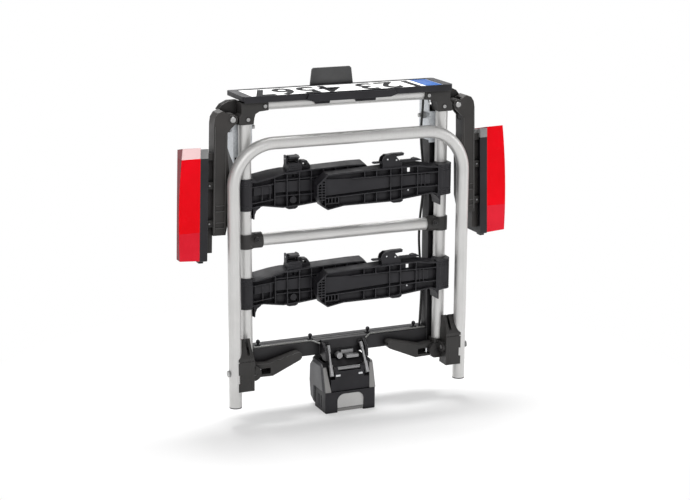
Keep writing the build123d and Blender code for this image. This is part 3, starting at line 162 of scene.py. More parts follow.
# Finishes of the CAD nodes, by the node's name or by how it begins
FINISHES = {
    "u_bar": "tube_upright", "side_tubes": "tube_upright", "top_cross_tube": "tube_across",
    "middle_cross_tube": "tube_across", "cross_beam": "coated", "yoke": "coated",
    "coupling_body": "coated", "ball_cup": "cup", "side_covers": "cover_grey", "foot_pedal": "grey",
    "number_plate": "plate", "tee_clamps": "frame_black", "bar_locks": "frame_black",
    "chassis_cable": "rubber", "platform_cable": "rubber", "pivot_bushes": "polymer",
    "bracket_screws": "bolt_steel", "pivot_bolts": "bolt_steel", "bar_bolts": "bolt_steel",
    "lamp_bolts": "bolt_steel", "lever_pin": "dull_steel", "guide_rods": "rod_steel",
    "yoke_hardware": "dull_steel", "clamp_jaw": "steel", "pedal_shaft": "steel",
    "pedal_springs": "steel", "lamp_lens_left": "red_painted_backlight", "lamp_lens_right": "red",
}
FINISHES_BY_START = {
    "rail_": "black", "strap_": "black", "buckle_": "black", "lamp_arm": "lamp_arm",
    "lamp_board": "board", "corner_bracket": "frame_black", "side_bracket": "frame_black",
    "pivot_plate": "galvanised", "side_arm": "coated",
}


# Node graphs

def new_material(name):
    """An empty node material with its Principled shader."""
    material = bpy.data.materials.new(name)
    material.use_nodes = True
    shader = material.node_tree.nodes["Principled BSDF"]
    return material, material.node_tree, shader


def object_coordinates(tree, stretch=(1, 1, 1)):
    """Object coordinates in metres, stretched along each axis."""
    coordinates = tree.nodes.new("ShaderNodeTexCoord")
    mapping = tree.nodes.new("ShaderNodeMapping")
    mapping.inputs["Scale"].default_value = stretch
    tree.links.new(coordinates.outputs["Object"], mapping.inputs["Vector"])
    return mapping.outputs["Vector"]


def height_of(tree, vector):
    """The height of a point, from its coordinates."""
    node = tree.nodes.new("ShaderNodeSeparateXYZ")
    tree.links.new(vector, node.inputs["Vector"])
    return node.outputs["Z"]


def facing(tree, axis):
    """How far the surface faces along one axis of its own object."""
    coordinates = tree.nodes.new("ShaderNodeTexCoord")
    node = tree.nodes.new("ShaderNodeSeparateXYZ")
    tree.links.new(coordinates.outputs["Normal"], node.inputs["Vector"])
    return node.outputs[axis]


def shelter(tree, distance=0.012):
    """How open the surface lies: 0 deep in a corner, 1 in the open; the materials paint shade in corners with
    it.
    """
    node = tree.nodes.new("ShaderNodeAmbientOcclusion")
    node.samples = NODE_RAYS
    node.inputs["Distance"].default_value = distance
    return node.outputs["AO"]


def noise(tree, vector, scale, detail=3.0, roughness=0.5):
    """A noise value between 0 and 1."""
    node = tree.nodes.new("ShaderNodeTexNoise")
    node.inputs["Scale"].default_value = scale
    node.inputs["Detail"].default_value = detail
    node.inputs["Roughness"].default_value = roughness
    tree.links.new(vector, node.inputs["Vector"])
    return node.outputs["Fac"]


def ramp(tree, value, low, high, low_at=0.3, high_at=0.7):
    """A colour between two colours, or a grey between two values."""
    node = tree.nodes.new("ShaderNodeValToRGB")
    node.color_ramp.elements[0].position = low_at
    node.color_ramp.elements[1].position = high_at
    node.color_ramp.elements[0].color = as_colour(low)
    node.color_ramp.elements[1].color = as_colour(high)
    tree.links.new(value, node.inputs["Fac"])
    return node.outputs["Color"]


def as_colour(value):
    """A colour with alpha from a grey value or from red, green and blue."""
    if isinstance(value, (int, float)):
        return (value, value, value, 1.0)
    return (*value, 1.0)


def maths(tree, operation, first, second, clamp=False):
    """One maths node on two values, either of which may be a number."""
    node = tree.nodes.new("ShaderNodeMath")
    node.operation = operation
    node.use_clamp = clamp
    for socket, value in zip(node.inputs, (first, second)):
        if isinstance(value, (int, float)):
            socket.default_value = value
        else:
            tree.links.new(value, socket)
    return node.outputs["Value"]


def mixed(tree, factor, first, second):
    """A colour mixed between two colours or colour outputs."""
    node = tree.nodes.new("ShaderNodeMix")
    node.data_type = "RGBA"
    tree.links.new(factor, node.inputs["Factor"])
    for name, value in (("A", first), ("B", second)):
        socket = [item for item in node.inputs if item.name == name and item.type == "RGBA"][0]
        if hasattr(value, "links"):
            tree.links.new(value, socket)
        else:
            socket.default_value = as_colour(value)
    return [item for item in node.outputs if item.type == "RGBA"][0]


def rounded_normal(tree, radius):
    """A surface direction that rounds the edges off by a small radius."""
    node = tree.nodes.new("ShaderNodeBevel")
    node.samples = NODE_RAYS
    node.inputs["Radius"].default_value = radius
    return node.outputs["Normal"]


def edge_mask(tree, normal):
    """How near the surface is to an edge: 0 on a flat, 1 on the edge."""
    geometry = tree.nodes.new("ShaderNodeNewGeometry")
    dot = tree.nodes.new("ShaderNodeVectorMath")
    dot.operation = "DOT_PRODUCT"
    tree.links.new(normal, dot.inputs[0])
    tree.links.new(geometry.outputs["Normal"], dot.inputs[1])
    bent = maths(tree, "SUBTRACT", 1.0, dot.outputs["Value"])
    return maths(tree, "MULTIPLY", bent, EDGE_GAIN, clamp=True)


def bump(tree, shader, height, distance, normal=None, strength=1.0):
    """Connect a bump of so many metres to the shader."""
    node = tree.nodes.new("ShaderNodeBump")
    node.inputs["Strength"].default_value = strength
    node.inputs["Distance"].default_value = distance
    tree.links.new(height, node.inputs["Height"])
    if normal is not None:
        tree.links.new(normal, node.inputs["Normal"])
    tree.links.new(node.outputs["Normal"], shader.inputs["Normal"])


# Materials

def moulded_plastic(name, dark, light, edge_wear_and_highlight, rough=(0.42, 0.55), grain=1400.0, depth=0.00006):
    """Moulded plastic with a fine grain, faint colour change, paler edges that are partly edge wear and
    partly a painted highlight, and painted shade that darkens its corners and their gloss.
    """
    material, tree, shader = new_material(name)
    vector = object_coordinates(tree)
    normal = rounded_normal(tree, 0.0008)
    base = ramp(tree, noise(tree, vector, 14.0), dark, light)
    # Paler edges: partly edge wear, partly a painted highlight on the rounded edges.
    wear_and_highlight_patches = ramp(tree, noise(tree, vector, 60.0, 4.0), 0.45, 1.0)
    edge = maths(tree, "MULTIPLY", edge_mask(tree, normal), wear_and_highlight_patches)
    # Painted shade: deep in corners and creases the colour darkens and the gloss weakens.
    sheltered = shelter(tree)
    deep = tuple(channel * 0.35 for channel in dark)
    base = mixed(tree, ramp(tree, sheltered, 0.0, 1.0, 0.35, 0.9), deep, base)
    tree.links.new(mixed(tree, edge, base, edge_wear_and_highlight), shader.inputs["Base Color"])
    roughness = ramp(tree, noise(tree, vector, 45.0, 4.0), rough[0], rough[1])
    tree.links.new(roughness, shader.inputs["Roughness"])
    tree.links.new(ramp(tree, sheltered, 0.04, 0.36, 0.35, 0.9), shader.inputs["Specular IOR Level"])
    bump(tree, shader, noise(tree, vector, grain, 2.0), depth, normal, 0.6)
    return material


def coated_metal(name):
    """Black powder coat: a slight orange peel over metal, paler along the edges with edge wear and a painted
    highlight, and painted shade in its corners.
    """
    material, tree, shader = new_material(name)
    vector = object_coordinates(tree)
    normal = rounded_normal(tree, 0.0009)
    base = ramp(tree, noise(tree, vector, 9.0), (0.013, 0.012, 0.014), (0.022, 0.021, 0.023))
    # Paler edges: partly edge wear, partly a painted highlight on the rounded edges.
    wear_and_highlight_patches = ramp(tree, noise(tree, vector, 80.0, 4.0), 0.4, 1.0)
    edge = maths(tree, "MULTIPLY", edge_mask(tree, normal), wear_and_highlight_patches)
    # Painted shade: deep in corners and creases the colour darkens and the gloss weakens.
    sheltered = shelter(tree, 0.02)
    base = mixed(tree, ramp(tree, sheltered, 0.0, 1.0, 0.3, 0.9), (0.003, 0.003, 0.003), base)
    tree.links.new(mixed(tree, edge, base, (0.13, 0.13, 0.13)), shader.inputs["Base Color"])
    tree.links.new(ramp(tree, noise(tree, vector, 30.0), 0.38, 0.5), shader.inputs["Roughness"])
    tree.links.new(ramp(tree, sheltered, 0.05, 0.4, 0.3, 0.9), shader.inputs["Specular IOR Level"])
    bump(tree, shader, noise(tree, vector, 420.0, 2.0), 0.00008, normal, 0.5)
    return material


def brushed_metal(name, dark, light, stretch, rough=(0.4, 0.52), metallic=0.75):
    """Drawn or brushed metal with streaks along one axis and a few cloudy patches."""
    material, tree, shader = new_material(name)
    streaks = noise(tree, object_coordinates(tree, stretch), 500.0, 5.0, 0.65)
    clouds = noise(tree, object_coordinates(tree), 18.0, 3.0)
    streaks_part = maths(tree, "MULTIPLY", streaks, 0.6)
    both = maths(tree, "ADD", streaks_part, maths(tree, "MULTIPLY", clouds, 0.4))
    tree.links.new(ramp(tree, both, dark, light), shader.inputs["Base Color"])
    tree.links.new(ramp(tree, streaks, rough[0], rough[1]), shader.inputs["Roughness"])
    shader.inputs["Metallic"].default_value = metallic
    bump(tree, shader, streaks, 0.00002, rounded_normal(tree, 0.0005), 0.5)
    return material


def galvanised_sheet():
    """Zinc plated sheet with its flake pattern and a bluish cast."""
    material, tree, shader = new_material("galvanised sheet")
    vector = object_coordinates(tree)
    flakes = tree.nodes.new("ShaderNodeTexVoronoi")
    flakes.inputs["Scale"].default_value = 190.0
    tree.links.new(vector, flakes.inputs["Vector"])
    value = maths(tree, "ADD", maths(tree, "MULTIPLY", flakes.outputs["Distance"], 0.5),
                  maths(tree, "MULTIPLY", noise(tree, vector, 50.0, 4.0), 0.6))
    tree.links.new(ramp(tree, value, (0.6, 0.63, 0.66), (0.78, 0.81, 0.84)), shader.inputs["Base Color"])
    tree.links.new(ramp(tree, value, 0.34, 0.5), shader.inputs["Roughness"])
    shader.inputs["Metallic"].default_value = 0.6
    bump(tree, shader, value, 0.00004, rounded_normal(tree, 0.0005), 0.5)
    return material


def lens_relief(tree, vector, height):
    """The relief of a lens: upright flutes, and a groove where its two bands meet."""
    wave = tree.nodes.new("ShaderNodeTexWave")
    wave.bands_direction = "Y"
    wave.inputs["Scale"].default_value = 60.0
    tree.links.new(vector, wave.inputs["Vector"])
    away = maths(tree, "ABSOLUTE", maths(tree, "SUBTRACT", height, LENS_SPLIT_Z * MM), 0.0)
    groove = maths(tree, "LESS_THAN", away, LENS_GROOVE * MM)
    return maths(tree, "SUBTRACT", maths(tree, "MULTIPLY", wave.outputs["Fac"], 0.15), groove)


def red_lens(name, painted_backlit_top):
    """Red lens plastic in bands, with painted shade on the faces that look away from the front, and a pale
    top band of painted backlight where asked.
    """
    material, tree, shader = new_material(name)
    vector = object_coordinates(tree)
    height = height_of(tree, vector)
    upper = ramp(tree, noise(tree, vector, 12.0), (0.82, 0.0005, 0.006), (0.93, 0.001, 0.01))
    lower = ramp(tree, noise(tree, vector, 12.0), (0.72, 0.012, 0.028), (0.82, 0.02, 0.04))
    band = maths(tree, "GREATER_THAN", height, LENS_SPLIT_Z * MM)
    colour = mixed(tree, band, lower, upper)
    # Painted backlight: a pale pink top band stands in for the white backdrop shining through the lens's
    # clear top.
    if painted_backlit_top:
        pale = maths(tree, "GREATER_THAN", height, LENS_PAINTED_BACKLIGHT_Z * MM)
        colour = mixed(tree, pale, colour, (1.0, 0.7, 0.7))
    # Painted shade: the faces that look away from the front turn dark red.
    painted_shade_side = maths(tree, "GREATER_THAN", facing(tree, "Y"), -0.6)
    colour = mixed(tree, maths(tree, "MULTIPLY", painted_shade_side, 0.93), colour, (0.2, 0.004, 0.012))
    tree.links.new(colour, shader.inputs["Base Color"])
    tree.links.new(ramp(tree, noise(tree, vector, 40.0, 3.0), 0.16, 0.28), shader.inputs["Roughness"])
    shader.inputs["Specular IOR Level"].default_value = 0.05
    shader.inputs["Coat Weight"].default_value = 0.05
    shader.inputs["Coat Roughness"].default_value = 0.05
    relief = lens_relief(tree, vector, height)
    bump(tree, shader, relief, 0.0004, rounded_normal(tree, 0.0015), 0.35)
    return material


def white_plate():
    """Reflective white film on an aluminium plate."""
    material, tree, shader = new_material("white plate film")
    vector = object_coordinates(tree)
    cells = tree.nodes.new("ShaderNodeTexVoronoi")
    cells.inputs["Scale"].default_value = 1500.0
    tree.links.new(vector, cells.inputs["Vector"])
    tree.links.new(ramp(tree, noise(tree, vector, 20.0), (0.82, 0.82, 0.82), (0.9, 0.9, 0.89)),
                   shader.inputs["Base Color"])
    tree.links.new(ramp(tree, cells.outputs["Distance"], 0.28, 0.4), shader.inputs["Roughness"])
    bump(tree, shader, cells.outputs["Distance"], 0.00002, rounded_normal(tree, 0.0004), 0.4)
    return material


def side_cover_plastic(material):
    """Grey plastic whose strip down the sloping front is paler."""
    tree = material.node_tree
    shader = tree.nodes["Principled BSDF"]
    across = tree.nodes.new("ShaderNodeSeparateXYZ")
    tree.links.new(object_coordinates(tree), across.inputs["Vector"])
    off_middle = maths(tree, "ABSOLUTE", across.outputs["X"], 0.0)
    inside = maths(tree, "LESS_THAN", off_middle, COVER_STRIP_X * MM)
    front = maths(tree, "LESS_THAN", facing(tree, "Y"), -0.5)
    old = shader.inputs["Base Color"].links[0].from_socket
    strip = maths(tree, "MULTIPLY", inside, front)
    tree.links.new(mixed(tree, strip, old, (0.27, 0.265, 0.26)), shader.inputs["Base Color"])
    return material


def cast_cup():
    """The cast cup's end: a pale face, a darker foot and a fine line between them."""
    material = brushed_metal("cast cup", (0.46, 0.455, 0.45), (0.6, 0.595, 0.59), (1, 1, 1),
                             (0.42, 0.55), 0.4)
    tree = material.node_tree
    shader = tree.nodes["Principled BSDF"]
    height = height_of(tree, object_coordinates(tree))
    foot = maths(tree, "LESS_THAN", height, CUP_FOOT_Z * MM)
    away = maths(tree, "ABSOLUTE", maths(tree, "SUBTRACT", height, CUP_FOOT_Z * MM), 0.0)
    line = maths(tree, "LESS_THAN", away, CUP_LINE * MM)
    old = shader.inputs["Base Color"].links[0].from_socket
    lower = mixed(tree, foot, old, (0.26, 0.255, 0.25))
    tree.links.new(mixed(tree, line, lower, (0.12, 0.12, 0.12)), shader.inputs["Base Color"])
    return material


def painted(name, dark, light, rough, gloss=0.5):
    """Smooth paint or plastic with a faint change of colour."""
    material, tree, shader = new_material(name)
    vector = object_coordinates(tree)
    tree.links.new(ramp(tree, noise(tree, vector, 25.0), dark, light), shader.inputs["Base Color"])
    tree.links.new(ramp(tree, noise(tree, vector, 70.0, 4.0), rough - 0.06, rough + 0.06),
                   shader.inputs["Roughness"])
    shader.inputs["Specular IOR Level"].default_value = gloss
    bump(tree, shader, noise(tree, vector, 900.0, 2.0), 0.00003, rounded_normal(tree, 0.0004), 0.4)
    return material


def make_materials():
    """Every finish of the rack, by a short name."""
    silver = ((0.6, 0.595, 0.585), (0.72, 0.715, 0.705))
    steel = ((0.55, 0.56, 0.58), (0.8, 0.81, 0.82))
    return {
        "tube_upright": brushed_metal("anodised tube", *silver, (1, 1, 0.03)),
        "tube_across": brushed_metal("anodised cross tube", *silver, (0.03, 1, 1)),
        "galvanised": galvanised_sheet(),
        "steel": brushed_metal("bright steel", *steel, (1, 1, 1), (0.2, 0.34), 0.95),
        "bolt_steel": brushed_metal("bolt steel", (0.34, 0.34, 0.34), (0.52, 0.52, 0.515), (1, 1, 1),
                                    (0.3, 0.44)),
        "dull_steel": brushed_metal("dull steel", (0.26, 0.26, 0.265), (0.42, 0.42, 0.425), (1, 1, 1),
                                    (0.35, 0.5)),
        "rod_steel": brushed_metal("rod steel", (0.16, 0.16, 0.155), (0.3, 0.3, 0.29), (0.03, 1, 1),
                                   (0.3, 0.45)),
        # The caps' grey is painted backlight: it stands in for the backdrop shining through the smoky
        # plastic.
        "smoky": painted("smoky plastic with painted backlight", (0.2, 0.2, 0.2), (0.27, 0.27, 0.27), 0.3),
        "coated": coated_metal("powder coat"),
        "black": moulded_plastic("black plastic", (0.009, 0.0085, 0.011), (0.018, 0.017, 0.021),
                                 (0.14, 0.138, 0.15)),
        "frame_black": moulded_plastic("bracket plastic", (0.026, 0.025, 0.024), (0.038, 0.036, 0.035),
                                       (0.12, 0.118, 0.115), (0.4, 0.52)),
        "lamp_arm": moulded_plastic("lamp arm plastic", (0.026, 0.024, 0.023), (0.042, 0.038, 0.036),
                                    (0.15, 0.15, 0.15), (0.38, 0.5)),
        # The ridges' paler colour is a painted highlight along the lamp arm's edges.
        "ridge": painted("ridge with painted highlight", (0.075, 0.073, 0.07), (0.1, 0.098, 0.095), 0.45),
        "grey": moulded_plastic("pedal plastic", (0.05, 0.05, 0.051), (0.066, 0.066, 0.067),
                                (0.16, 0.16, 0.16), (0.42, 0.54)),
        "cover_grey": side_cover_plastic(moulded_plastic(
            "cover plastic", (0.07, 0.07, 0.074), (0.1, 0.1, 0.106), (0.28, 0.28, 0.29), (0.36, 0.48))),
        "cup": cast_cup(),
        "red": red_lens("red lens", False),
        # The left lens has a top band of painted backlight.
        "red_painted_backlight": red_lens("red lens with painted backlit top", True),
        "plate": white_plate(),
        "ink": painted("plate ink", (0.004, 0.004, 0.005), (0.008, 0.008, 0.009), 0.6, 0.1),
        "blue": painted("plate blue", (0.008, 0.075, 0.3), (0.012, 0.1, 0.36), 0.45, 0.2),
        "board": painted("board", (0.01, 0.12, 0.05), (0.02, 0.18, 0.08), 0.4),
        "rubber": painted("cable jacket", (0.012, 0.012, 0.012), (0.02, 0.02, 0.02), 0.5),
        "polymer": painted("bush polymer", (0.4, 0.38, 0.3), (0.5, 0.48, 0.4), 0.5),
    }


def finish_of(node):
    """The finish of a CAD node, by its name; black plastic where none is named."""
    for beginning, finish in FINISHES_BY_START.items():
        if node.startswith(beginning):
            return finish
    return FINISHES.get(node, "black")


def dress_frame(materials):
    """Give every CAD node its finish."""
    for name, item in frame["nodes"].items():
        item.data.materials.clear()
        item.data.materials.append(materials[finish_of(name)])


# Shapes for the small pieces, in millimetres

def slab(shape, corners, draw, bevel=0.4):
    """A flat outline drawn by a vector, with its edges bevelled."""
    first = [shape.verts.new(corner) for corner in corners]
    second = [shape.verts.new(Vector(corner) + Vector(draw)) for corner in corners]
    faces = [shape.faces.new(first), shape.faces.new(list(reversed(second)))]
    for index in range(len(corners)):
        after = (index + 1) % len(corners)
        faces.append(shape.faces.new((first[after], first[index], second[index], second[after])))
    bmesh.ops.recalc_face_normals(shape, faces=faces)
    edges = list({edge for face in faces for edge in face.edges})
    bmesh.ops.bevel(shape, geom=edges, offset=bevel, offset_type="OFFSET", segments=2, profile=0.5,
                    affect="EDGES", clamp_overlap=True)


def rectangle_y(x0, x1, z0, z1, y):
    """The corners of an upright rectangle that faces the front."""
    return [(x0, y, z0), (x1, y, z0), (x1, y, z1), (x0, y, z1)]


def turned(shape, profile, place, axis, sides=20):
    """A turned body: pairs of radius and reach along an axis, from a place."""
    axis = Vector(axis).normalized()
    across = axis.orthogonal().normalized()
    beside = axis.cross(across)
    rings = []
    for radius, reach in profile:
        ring = []
        for index in range(sides):
            angle = 2 * math.pi * index / sides
            out = across * math.cos(angle) + beside * math.sin(angle)
            ring.append(shape.verts.new(Vector(place) + axis * reach + out * radius))
        rings.append(ring)
    for first, second in zip(rings, rings[1:]):
        for index in range(sides):
            after = (index + 1) % sides
            shape.faces.new((first[index], first[after], second[after], second[index]))
    shape.faces.new(list(reversed(rings[0])))
    shape.faces.new(rings[-1])


def socket_screw(shape, place, axis, radius, height, sides=24):
    """A pan head screw with a round recess in its head."""
    head = [(radius, 0), (radius, height * 0.55), (radius * 0.86, height * 0.9), (radius * 0.5, height),
            (radius * 0.48, height * 0.35)]
    turned(shape, head, place, axis, sides)


def hexagon_bolt(shape, place, axis, radius, height):
    """A six-sided bolt head on its washer, with the crown chamfered."""
    turned(shape, [(radius * 1.25, 0), (radius * 1.25, 1.0), (radius * 1.15, 1.2)], place, axis, 28)
    turned(shape, [(radius * 0.96, 1.0), (radius, 1.4), (radius, height), (radius * 0.82, height + 0.8)],
           place, axis, 6)


def bead(shape, points, radius, sides=8, ripple=0.35, pitch=2.2):
    """A weld bead along a line of points, with its ripples."""
    path = [Vector(point) for point in points]
    rings = []
    for start, end in zip(path, path[1:]):
        way = (end - start).normalized()
        across = way.orthogonal().normalized()
        beside = way.cross(across)
        count = max(2, int((end - start).length / pitch) * 2)
        for step in range(count):
            middle = start + (end - start) * (step / (count - 1))
            wide = radius + (ripple if step % 2 else 0.0)
            ring = []
            for index in range(sides):
                angle = 2 * math.pi * index / sides
                out = across * math.cos(angle) + beside * math.sin(angle)
                ring.append(shape.verts.new(middle + out * wide))
            rings.append(ring)
        for first, second in zip(rings[-count:], rings[-count + 1:]):
            for index in range(sides):
                after = (index + 1) % sides
                shape.faces.new((first[index], first[after], second[after], second[index]))


def piece(name, body, material, build, smooth=0.6):
    """A new piece: its shape in millimetres, its finish, and the body that it rides on."""
    shape = bmesh.new()
    build(shape)
    bmesh.ops.recalc_face_normals(shape, faces=shape.faces)
    bmesh.ops.scale(shape, vec=(MM, MM, MM), verts=shape.verts)
    for edge in shape.edges:
        edge.smooth = len(edge.link_faces) == 2 and edge.calc_face_angle(0.0) < smooth
    for face in shape.faces:
        face.smooth = True
    mesh = bpy.data.meshes.new(name)
    shape.to_mesh(mesh)
    shape.free()
    mesh.materials.append(material)
    item = bpy.data.objects.new(name, mesh)
    bpy.context.scene.collection.objects.link(item)
    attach(item, body)
    return item


# Number plate

def plate_digits(materials):
    """Plain digits on the plate, upside down for who stands in front of the folded rack."""
    words = bpy.data.curves.new("digits", "FONT")
    words.body = "123 4567"
    words.size = DIGITS_SIZE * MM
    words.align_x = "CENTER"
    words.align_y = "CENTER"
    words.space_character = 1.12
    words.extrude = DIGITS_HEIGHT * MM
    words.offset = DIGITS_BOLD * MM
    words.bevel_depth = 0.15 * MM
    lettering = bpy.data.objects.new("digits", words)
    bpy.context.scene.collection.objects.link(lettering)
    bpy.context.view_layer.update()
    mesh = bpy.data.meshes.new_from_object(lettering)
    bpy.data.objects.remove(lettering)
    places = [vertex.co.x for vertex in mesh.vertices]
    low, high = min(places), max(places)
    centred = Matrix.Translation((-(low + high) / 2, 0, 0))
    fitted = Matrix.Scale(DIGITS_WIDTH * MM / (high - low), 4, (1, 0, 0))
    middle_x = (BAND_INNER_X - LIP_INNER_X) / 2
    middle = (middle_x * MM, PLATE_MIDDLE_Y * MM, (PLATE_TOP + DIGITS_LIFT) * MM)
    mesh.transform(Matrix.Translation(middle) @ Matrix.Rotation(math.pi, 4, "Z") @ fitted @ centred)
    mesh.materials.clear()
    mesh.materials.append(materials["ink"])
    item = bpy.data.objects.new("plate_digits", mesh)
    bpy.context.scene.collection.objects.link(item)
    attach(item, "platform")


def plate_band(materials):
    """The plain blue band at one end of the plate."""
    def build(shape):
        y0 = PLATE_MIDDLE_Y - PLATE_HALF_DEPTH + PLATE_LIP
        y1 = PLATE_MIDDLE_Y + PLATE_HALF_DEPTH - PLATE_LIP
        x1 = LIP_INNER_X - 2
        corners = [(BAND_INNER_X, y0, PLATE_TOP), (x1, y0, PLATE_TOP), (x1, y1, PLATE_TOP),
                   (BAND_INNER_X, y1, PLATE_TOP)]
        slab(shape, corners, (0, 0, 0.3), 0.12)
    piece("plate_band", "platform", materials["blue"], build)


# Frame and carrying bar

def clamp_screws(materials):
    """Blackened socket screws in the fronts of the tee clamps and the side supports."""
    def build(shape):
        for side in (-1, 1):
            for (inward, y, z), radius, height in ((TEE_SCREW, 4.2, 2.6), (SUPPORT_SCREW, 4.6, 2.4)):
                socket_screw(shape, (side * (TUBE_X - inward), y, z), (0, -1, 0), radius, height)
    piece("clamp_screws", "platform", materials["coated"], build)


def support_pins(materials):
    """The bright sleeves on the pins in the side supports' slots."""
    def build(shape):
        inward, y, z = SUPPORT_PIN
        for side in (-1, 1):
            turned(shape, [(3.0, 0), (3.3, 0.4), (3.3, 11.0), (3.0, 11.4)],
                   (side * (TUBE_X - inward), y, z), (0, 0, 1), 20)
    piece("support_pins", "platform", materials["steel"], build)


def lean_out(shape, side):
    """Turn a lamp's pieces out about its hinge, as the folded lamp hangs."""
    centre = (side * LAMP_HINGE[0], LAMP_HINGE[1], LAMP_HINGE[2])
    turn = Matrix.Rotation(math.radians(-side * LAMP_LEAN), 3, "Y")
    bmesh.ops.rotate(shape, cent=centre, matrix=turn, verts=shape.verts)


def lamp_bosses(side, body, materials):
    """The ring round the lamp hinge bolt, the arm's ridges with a painted highlight in their paler colour,
    the lamp's screws, and its smoky cap whose grey is painted backlight.
    """
    def ring(shape):
        x, y, z = LAMP_HINGE
        turned(shape, [(11.2, 0.0), (11.2, 0.5), (10.6, 0.9), (8.4, 0.9), (8.0, 0.5), (8.0, 0.0)],
               (side * x, y + 0.1, z), (0, -1, 0), 36)

    def screws(shape):
        for z in LAMP_SCREW_HEIGHTS:
            socket_screw(shape, (side * (HOUSING_X - 6), LAMP_FRONT + 7, z), (0, -1, 0), 2.2, 1.4)
        lean_out(shape, side)

    def ridges(shape):
        x, y, z = LAMP_HINGE
        for x0, x1, z0, z1 in ARM_RIDGES:
            low, high = sorted((side * (x + x0), side * (x + x1)))
            slab(shape, rectangle_y(low, high, z + z0, z + z1, y), (0, -ARM_RIDGE_HEIGHT, 0), 0.3)
        lean_out(shape, side)

    def cap(shape):
        x0, x1 = sorted((side * (HOUSING_X - 0.4), side * (HOUSING_X + CAP_WIDTH)))
        front = rectangle_y(x0, x1, CAP_LOW, CAP_HIGH, LAMP_FRONT - CAP_PROUD)
        slab(shape, front, (0, CAP_DEPTH, 0), 1.6)
        for vertex in shape.verts:
            if vertex.co.z > (CAP_LOW + CAP_HIGH) / 2:
                vertex.co.z -= (vertex.co.y - LAMP_FRONT) * LAMP_TOP_FALL / LAMP_DEPTH
        lean_out(shape, side)
    name = "right" if side > 0 else "left"
    piece(f"lamp_arm_ridges_{name}", body, materials["ridge"], ridges)
    piece(f"lamp_hinge_ring_{name}", body, materials["lamp_arm"], ring)
    piece(f"lamp_screws_{name}", body, materials["dull_steel"], screws)
    piece(f"lamp_cap_{name}", body, materials["smoky"], cap)


def rail_fittings(level, z, materials):
    """The bright pin ends and screws of one pair of half rails and their buckles."""
    def right(shape):
        y = RIGHT_RAIL_FRONT + 2.4
        for x, rise in RAIL_PINS:
            turned(shape, [(2.2, 0), (2.2, 0.7), (1.7, 1.2), (0.6, 1.35)], (x, y, z + rise), (0, -1, 0))
        x, inward, rise = RAIL_SCREW
        socket_screw(shape, (x, RIGHT_RAIL_FRONT + inward, z + rise), (0, -1, 0), 2.4, 1.4)

    def left(shape):
        for way in (-1, 1):
            place = (LEFT_PIN_X + way * LEFT_PIN_HALF, LEFT_PIN_Y, z + LEFT_PIN_RISE)
            turned(shape, [(2.3, 0), (2.3, 1.9), (1.8, 2.6), (0.6, 2.8)], place, (way, 0, 0))
    piece(f"right_rail_pins_{level}", f"{level}_right_rail", materials["steel"], right)
    piece(f"left_rail_pins_{level}", f"{level}_left_rail", materials["steel"], left)


# Chassis

def weld_beads(materials):
    """The seams between the cross beam and the chassis arms, and beside the yoke."""
    def build(shape):
        front = BEAM_FRONT - WELD_PROUD
        top = BEAM_TOP + WELD_PROUD
        for side in (-1, 1):
            x = side * (BEAM_END - 0.3)
            bead(shape, [(x, front, BEAM_LOW + 3), (x, front, BEAM_TOP - 1)], 1.5)
            bead(shape, [(x, BEAM_FRONT + 3, top), (x, ARM_WELD_BACK, top)], 1.5)
            x = side * YOKE_WELD_X
            bead(shape, [(x, front, BEAM_LOW + 3), (x, front, BEAM_TOP - 1)], 1.6)
    piece("weld_beads", "chassis", materials["coated"], build)


def beam_bolts(materials):
    """The bolts that hold the coupling's bracket, at the back of the beam."""
    def build(shape):
        for x in (-BEAM_BOLT_X, BEAM_BOLT_X):
            hexagon_bolt(shape, (x, BEAM_BACK, BEAM_BOLT_Z), (0, 1, 0), 7.0, 3.6)
    piece("beam_bolts", "chassis", materials["steel"], build)


def lever_marks(materials):
    """The two small bright pads on the coupling's hand lever."""
    def build(shape):
        (low_y, low_z), (high_y, high_z) = LEVER_MARK_FACE
        for x0, x1 in LEVER_MARKS:
            face = [(x0, low_y, low_z), (x1, low_y, low_z), (x1, high_y, high_z), (x0, high_y, high_z)]
            slab(shape, face, (0, -0.9, 0), 0.25)
    piece("lever_marks", "lever", materials["steel"], build)


def lamp_cable(materials):
    """The lamp cable: one smooth line from the plate holder, past the tilting pivot, to the beam."""
    curve = bpy.data.curves.new("cable_line", "CURVE")
    curve.dimensions = "3D"
    spline = curve.splines.new("NURBS")
    spline.points.add(len(CABLE_ROUTE) - 1)
    for point, place in zip(spline.points, CABLE_ROUTE):
        point.co = (place[0] * MM, place[1] * MM, place[2] * MM, 1.0)
    spline.order_u = 3
    spline.use_endpoint_u = True
    spline.resolution_u = 8
    curve.bevel_depth = CABLE_RADIUS * MM
    curve.bevel_resolution = 4
    curve.use_fill_caps = True
    line = bpy.data.objects.new("cable_line", curve)
    bpy.context.scene.collection.objects.link(line)
    bpy.context.view_layer.update()
    mesh = bpy.data.meshes.new_from_object(line)
    bpy.data.objects.remove(line)
    mesh.materials.clear()
    mesh.materials.append(materials["rubber"])
    for face in mesh.polygons:
        face.use_smooth = True
    item = bpy.data.objects.new("lamp_cable", mesh)
    bpy.context.scene.collection.objects.link(item)
    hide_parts("platform_cable", "chassis_cable")
    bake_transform(item)


# Pedal

def pedal_grips(materials):
    """The grip ribs on the back of the foot pedal."""
    def build(shape):
        tall, proud = GRIP_SIZE
        for z in GRIP_HEIGHTS:
            face = rectangle_y(-GRIP_HALF_WIDTH, GRIP_HALF_WIDTH, z, z + tall, GRIP_FRONT)
            slab(shape, face, (0, proud, 0), 0.35)
    piece("pedal_grips", "pedal", materials["grey"], build)


